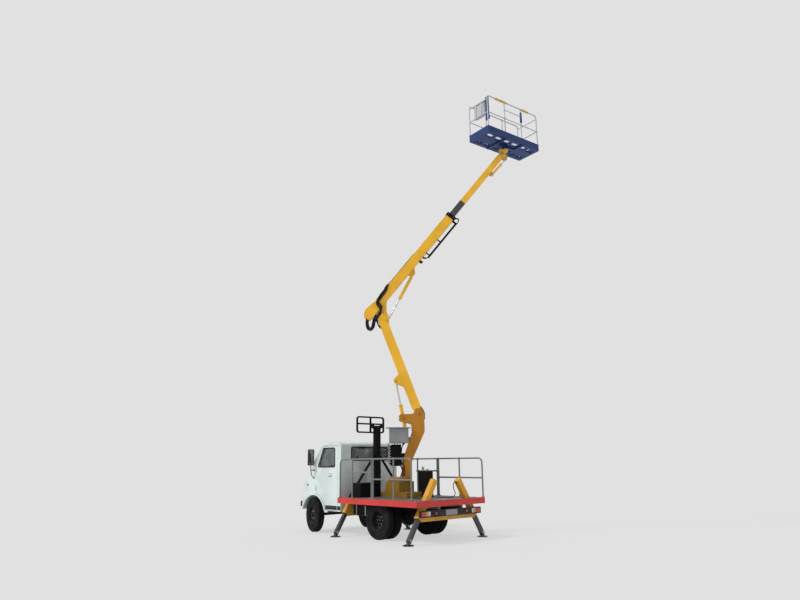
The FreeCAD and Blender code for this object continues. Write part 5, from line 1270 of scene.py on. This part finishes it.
ELBOW_HOSE, PIVOT_HOSE = 0.0145, 0.009
for lane, drop in enumerate(LANES):
    over_pivot = [*turret.at([(0.50 + 0.024 * lane, 0.098, 2.44), (0.545 + 0.024 * lane, 0.104, 2.56),
                              (0.535 + 0.020 * lane, 0.112, 2.70), (0.43 + 0.018 * lane, 0.108, 2.84)]),
                  *lower.at([(0.26, 0.092, drop), (0.345, PIPE_Y, drop)])]
    bent_hose(f"pivot_hose_{lane + 1}", over_pivot, PIVOT_HOSE, ("turret", "lower_boom"),
              turret.at((0.53, 0.10, 2.50)), lower.at((0.25, 0.09, 0)))
    over_edge = lower.at([(2.115, PIPE_Y, drop), (2.18, 0.080, 0.07 + drop), (2.25, 0.060, 0.125),
                          (2.32, drop, 0.128)])
    past_elbow = [*over_edge, *lower.at([(2.41, -0.080, 0.105 - drop), (2.48, -0.116, 0.01 - drop)]),
                  *upper.at([(0.02 - drop, -0.118, 0.07), (0.085 - drop, -0.108, 0.22 + drop * 0.4),
                             (0.24, -0.100, 0.262 + drop), (0.42, -0.096, 0.272 + drop),
                             (0.54, -0.082 + drop * 0.3, 0.306 + drop * 0.6), (0.66, drop, 0.316)])]
    bent_hose(f"elbow_hose_{lane + 1}", past_elbow, ELBOW_HOSE, ("lower_boom", "upper_boom"),
              lower.at((2.44, -0.1, 0.05)), upper.at((0.10, -0.1, 0.2)))
    under_tail = [*over_edge, lower.at((2.38, -0.050 + drop * 0.5, 0.158 - drop * 0.5)),
                  *upper.at([(-0.17, -0.060, 0.045 - drop), (-0.30, -0.045, 0.020 - drop),
                             (-0.42, -0.030, -0.040 - drop),
                             (-0.500 - drop * 0.7, -0.020, -0.045 - drop * 0.7),
                             (-0.520 - drop, -0.010, 0.020), (-0.455 - drop * 0.7, 0.0, 0.110 + drop * 0.5),
                             (-0.372, 0.0, 0.170 + drop)])]
    bent_hose(f"tail_hose_{lane + 1}", under_tail, ELBOW_HOSE, ("lower_boom", "upper_boom"),
              upper.at((-0.456, -0.03, -0.082)), upper.at((-0.538, -0.03, 0.019)))

BOOM_TOP, TRAY_FLOOR = 0.316, -0.012


def upper_hose(lane):
    """On the upper boom's top, over its far edge and into the hose tray below."""
    return upper.hose([(0.66, lane, BOOM_TOP), (0.80, lane, 0.315), (1.52, lane, 0.315),
                       (1.60, 0.05 + lane * 0.3, 0.320), (1.66 + lane * 0.6, 0.092, 0.26),
                       (1.69 + lane * 0.6, 0.092, 0.13), (1.72 + lane * 0.4, 0.060, 0.03),
                       (1.78, lane * 0.6, TRAY_FLOOR), (1.88, lane * 0.6, TRAY_FLOOR)], steps=8)


def tray_end(lane):
    """Out of the tray's far end and bent back up to the collar's underside."""
    y = lane * 0.6
    return upper.hose([(2.80, y, TRAY_FLOOR), (2.90, y, -0.030), (2.985, y, TRAY_FLOOR), (3.005, y, 0.035),
                       (2.970, y, 0.085)], 0.011)


made("upper_boom_hoses", joined(
    *[upper_hose(lane) for lane in LANES],
    *[upper.block((x, 0.0, 0.312), (0.024, 0.096, 0.018)) for x in (0.70, 1.10, 1.50)],
    upper.block((0.46, -0.084, 0.288), (0.030, 0.020, 0.070))), hose_rubber, "upper_boom")
made("tray_loop", joined(
    *[tray_end(lane) for lane in LANES],
    upper.block((1.55, 0.0, 0.060), (0.050, 0.090, 0.074), 0.008),
    upper.block((1.55, -0.060, 0.018), (0.030, 0.110, 0.014))), hose_rubber, "upper_boom")
made("carrier_links", joined(*[upper.block((x, 0, -0.011), (0.022, 0.048, 0.034), 0.005)
                               for x in np.linspace(1.78, 2.84, 36)]), black_plastic, "upper_boom")
tail_bolts = upper.at([(-0.378, y, z) for y in (-0.045, 0.045) for z in (0.16, 0.24)])
made("upper_boom_caps", joined(pin_caps(upper, (ELBOW_FOOT, 0.0505, 0.030, 0.010)),
                               bolts(tail_bolts, -upper.along, 0.016, 0.009)),
     worn_yellow, "upper_boom")

COLLAR_X, COLLAR_Z = 2.977, 0.20
side_screws = upper.at([(2.93, side * 0.0925, COLLAR_Z + up) for side in (1, -1) for up in (-0.07, 0.07)])
face_screws = upper.at([(COLLAR_X, y, COLLAR_Z + up) for y in (-0.074, 0.074) for up in (-0.10, 0.10)])
made("collar_pads", joined(
    *[upper.block((COLLAR_X, y, COLLAR_Z), (0.010, 0.014, 0.10), 0.003) for y in (-0.070, 0.070)],
    *[upper.block((COLLAR_X, 0, COLLAR_Z + up), (0.010, 0.07, 0.012), 0.003) for up in (-0.083, 0.083)],
    bolts(side_screws, LEFT, 0.016, 0.002), bolts(face_screws, upper.along, 0.016, 0.008)),
     ground_steel, "upper_boom")
made("telescope_caps", pin_caps(upper, (LEVEL_FOOT, 0.0465, 0.028, 0.010)), ground_steel, "telescope")

TURN_RING = [(0.0845, -0.012), (0.090, -0.008), (0.090, 0.008), (0.0845, 0.012), (0.0845, -0.012)]
tip_caps = pin_caps(tip, ((0.0, 0.0), 0.0795, 0.036, 0.010), (LEVEL_EYE, 0.0715, 0.026, 0.010))
made("knuckle_caps", joined(tip_caps, turned(TURN_RING, tip.at((0.09, 0, 0.135)), UP, 48)),
     ground_steel, "basket_knuckle")


# Basket: places in its own frame, with x along its length and z up from the floor's underside

POST_X, POST_Y, TOP_RAIL, MESH = 0.879, 0.329, 1.0, 0.0445
INNER_POSTS = (-POST_X / 3, POST_X / 3)


def rail_pad(start, end):
    """Soft sleeve on the near top rail: a circle about the rail, pinched at both its ends."""
    steps, sides = 26, 20
    run = np.linspace(0, 1, steps)
    radius = (0.0165 + 0.011 * np.clip(np.minimum(run, 1 - run) * 14, 0, 1) ** 0.5)[:, None]
    angle = np.linspace(0, 2 * np.pi, sides, endpoint=False)
    points = np.stack([(start + (end - start) * run)[:, None] + 0 * angle,
                       radius * np.cos(angle) - POST_Y, radius * np.sin(angle) + TOP_RAIL], -1)
    last = (steps - 1) * sides
    ends = [list(range(sides)), list(range(last, last + sides))]
    return basket.at(points.reshape(-1, 3)), quads(steps, sides) + ends


made("rail_sleeves", joined(rail_pad(-0.62, -0.20), rail_pad(0.32, 0.58)), rail_gold, "basket")
made("corner_bracket", joined(
    basket.block((-0.862, -0.300, 0.66), (0.022, 0.110, 0.64), 0.006),
    basket.block((-0.862, -0.300, 0.40), (0.040, 0.130, 0.06), 0.010),
    basket.block((0.300, -0.330, 0.76), (0.050, 0.040, 0.30), 0.010)), basket_blue, "basket")
BASKET_FOOT = [(0.0145, 0.0), (0.024, 0.0), (0.022, 0.030), (0.0145, 0.034), (0.0145, 0.0)]
made("basket_post_feet", joined(*[turned(BASKET_FOOT, basket.at((x, y, 0.041)), UP, 24)
                                  for x in (-POST_X, *INNER_POSTS, POST_X) for y in (-POST_Y, POST_Y)]),
     basket_blue, "basket")


def mesh_strip(start, lean):
    """Slanting strip of the floor's mesh, cut off where it would pass the basket's ends."""
    long, wide, slant = 0.885, 0.335, 0.10 * lean
    height = MESH + 0.0012 * lean
    near, far = np.array([start - slant, -wide, height]), np.array([start + slant, wide, height])
    share = np.clip((np.array([-long, long]) - near[0]) / (far[0] - near[0]), 0, 1)
    ends = [near + (far - near) * cut for cut in sorted(share)]
    return carried(basket.at(ends), oblong(0.007, 0.0024, 0.0008, 1))


made("basket_mesh_floor", joined(*[mesh_strip(start, lean) for lean in (1, -1)
                                   for start in np.arange(-0.86, 0.87, 0.0574)]),
     ground_steel, "basket", (), 20)
toe_line = basket.at(border((-0.899, -0.349, 0.166), (0.899, 0.349, 0.166)))
made("toe_lips", beading(toe_line, 0.02, oblong(0.010, 0.012, 0.004), UP), basket_blue, "basket")

PANEL_LEAN = math.radians(57)
PANEL_FACE = (math.cos(PANEL_LEAN), 0, math.sin(PANEL_LEAN))
CONTROL_LEVER = [(0.022, -0.004), (0.022, 0.004), (0.016, 0.014), (0.008, 0.030), (0.006, 0.070),
                 (0.013, 0.078), (0.013, 0.094), (0.006, 0.100), (0, 0.100), (0, -0.004)]
CONTROL_KNOB = [(0.014, -0.003), (0.014, 0.012), (0.010, 0.016), (0, 0.016), (0, -0.003)]
made("control_levers", joined(
    *[basket.turned(CONTROL_LEVER, (-0.745, y, 0.862), PANEL_FACE, 20) for y in (-0.11, -0.04, 0.03, 0.10)],
    *[basket.turned(CONTROL_KNOB, (-0.722, y, 0.842), PANEL_FACE, 20) for y in (-0.145, 0.145)]),
     black_plastic, "basket")
made("control_cover", joined(
    basket.block((-0.78, 0.0, 0.936), (0.135, 0.360, 0.012), 0.005),
    *[basket.block((-0.868, y, 0.72), (0.030, 0.030, 0.40), 0.006) for y in (-0.10, 0.10)]),
     basket_grey, "basket")

DROP_BAR, DROP_BAR_Z = 0.285, 0.79
drop_bar = basket.at([(-DROP_BAR, -POST_Y, DROP_BAR_Z), (DROP_BAR, -POST_Y, DROP_BAR_Z)])
made("basket_gate", joined(carried(drop_bar, circle(0.012, 14)),
                           *[basket.turned(collar(0.0155, 0.0205, 0.022), (x, -POST_Y, DROP_BAR_Z), UP, 20)
                             for x in INNER_POSTS]), basket_grey, "basket")
rail_sleeves = [sleeve((x, sign * POST_Y, z), (1, 0, 0), 0.055, 0.015)
                for x in INNER_POSTS for sign in (1, -1) for z in (0.55, TOP_RAIL)]
made("basket_joints", joined(*[(basket.at(points), faces) for points, faces in rail_sleeves]), basket_grey,
     "basket")


# Camera, light and floor

def camera_at(place, yaw, pitch, roll, pixels):
    """The photograph's eye: yaw from +X, pitch up, roll about the line of sight, focal length in pixels of a
    picture 800 wide."""
    yaw, pitch, roll = (math.radians(angle) for angle in (yaw, pitch, roll))
    ahead = Vector((math.cos(yaw) * math.cos(pitch), math.sin(yaw) * math.cos(pitch), math.sin(pitch)))
    level = Vector((math.sin(yaw), -math.cos(yaw), 0.0))
    above = level.cross(ahead)
    right = math.cos(roll) * level + math.sin(roll) * above
    up = math.cos(roll) * above - math.sin(roll) * level
    data = bpy.data.cameras.new("camera")
    data.lens = pixels * data.sensor_width / 800
    data.clip_end = 400
    eye = bpy.data.objects.new("camera", data)
    eye.matrix_world = Matrix((
        (right.x, up.x, -ahead.x, place[0]), (right.y, up.y, -ahead.y, place[1]),
        (right.z, up.z, -ahead.z, place[2]), (0, 0, 0, 1)))
    bpy.context.scene.collection.objects.link(eye)
    bpy.context.scene.camera = eye


camera_at((-10.82, 10.037, 1.575), yaw=-42.384, pitch=14.065, roll=-0.605, pixels=645.14)
bpy.context.scene.view_settings.view_transform = "Standard"

BACKDROP, GLOW, FLOOR_SHINE = (0.753, 0.753, 0.753, 1.0), 0.62, 0.72
SUN_WAY, SUN_POWER, SUN_WIDE = (-0.28, -0.66, -0.70), 1.75, math.radians(16)


def studio_world():
    """White light on the surfaces, the backdrop's grey where it is seen directly."""
    world = bpy.data.worlds.new("studio")
    world.use_nodes = True
    sky = NodeTree(world.node_tree)
    light = sky.get("ShaderNodeBackground", None, {"Color": (1.0, 1.0, 1.0, 1.0), "Strength": GLOW})
    backdrop = sky.get("ShaderNodeBackground", None, {"Color": BACKDROP})
    sky.node("ShaderNodeOutputWorld", None, {"Surface": sky.either(sky.seen_directly(), light, backdrop)})
    return world


def studio_sun():
    """Broad lamp from above the vehicle's left front."""
    sun = bpy.data.lights.new("sun", "SUN")
    sun.energy, sun.angle = SUN_POWER, SUN_WIDE
    lamp = bpy.data.objects.new("sun", sun)
    lamp.rotation_euler = Vector(SUN_WAY).to_track_quat("-Z", "Y").to_euler()
    return lamp


def studio_floor(reach=150.0):
    """Wide level square whose shadows fade into the backdrop's grey."""
    mesh = bpy.data.meshes.new("floor")
    mesh.from_pydata(spots([-reach, reach], [-reach, reach], 0.0).tolist(), [], [(0, 2, 3, 1)])
    look = Look("pale_floor")
    lit = look.get("ShaderNodeBsdfDiffuse", None, {"Color": BACKDROP})
    plain = look.get("ShaderNodeEmission", None, {"Color": BACKDROP})
    mesh.materials.append(look.covered(look.either(look.seen_directly() * FLOOR_SHINE, lit, plain)))
    floor = bpy.data.objects.new("floor", mesh)
    floor.location.z = -0.002
    return floor


bpy.context.scene.world = studio_world()
bpy.context.scene.collection.objects.link(studio_sun())
floor = studio_floor()
bpy.context.scene.collection.objects.link(floor)
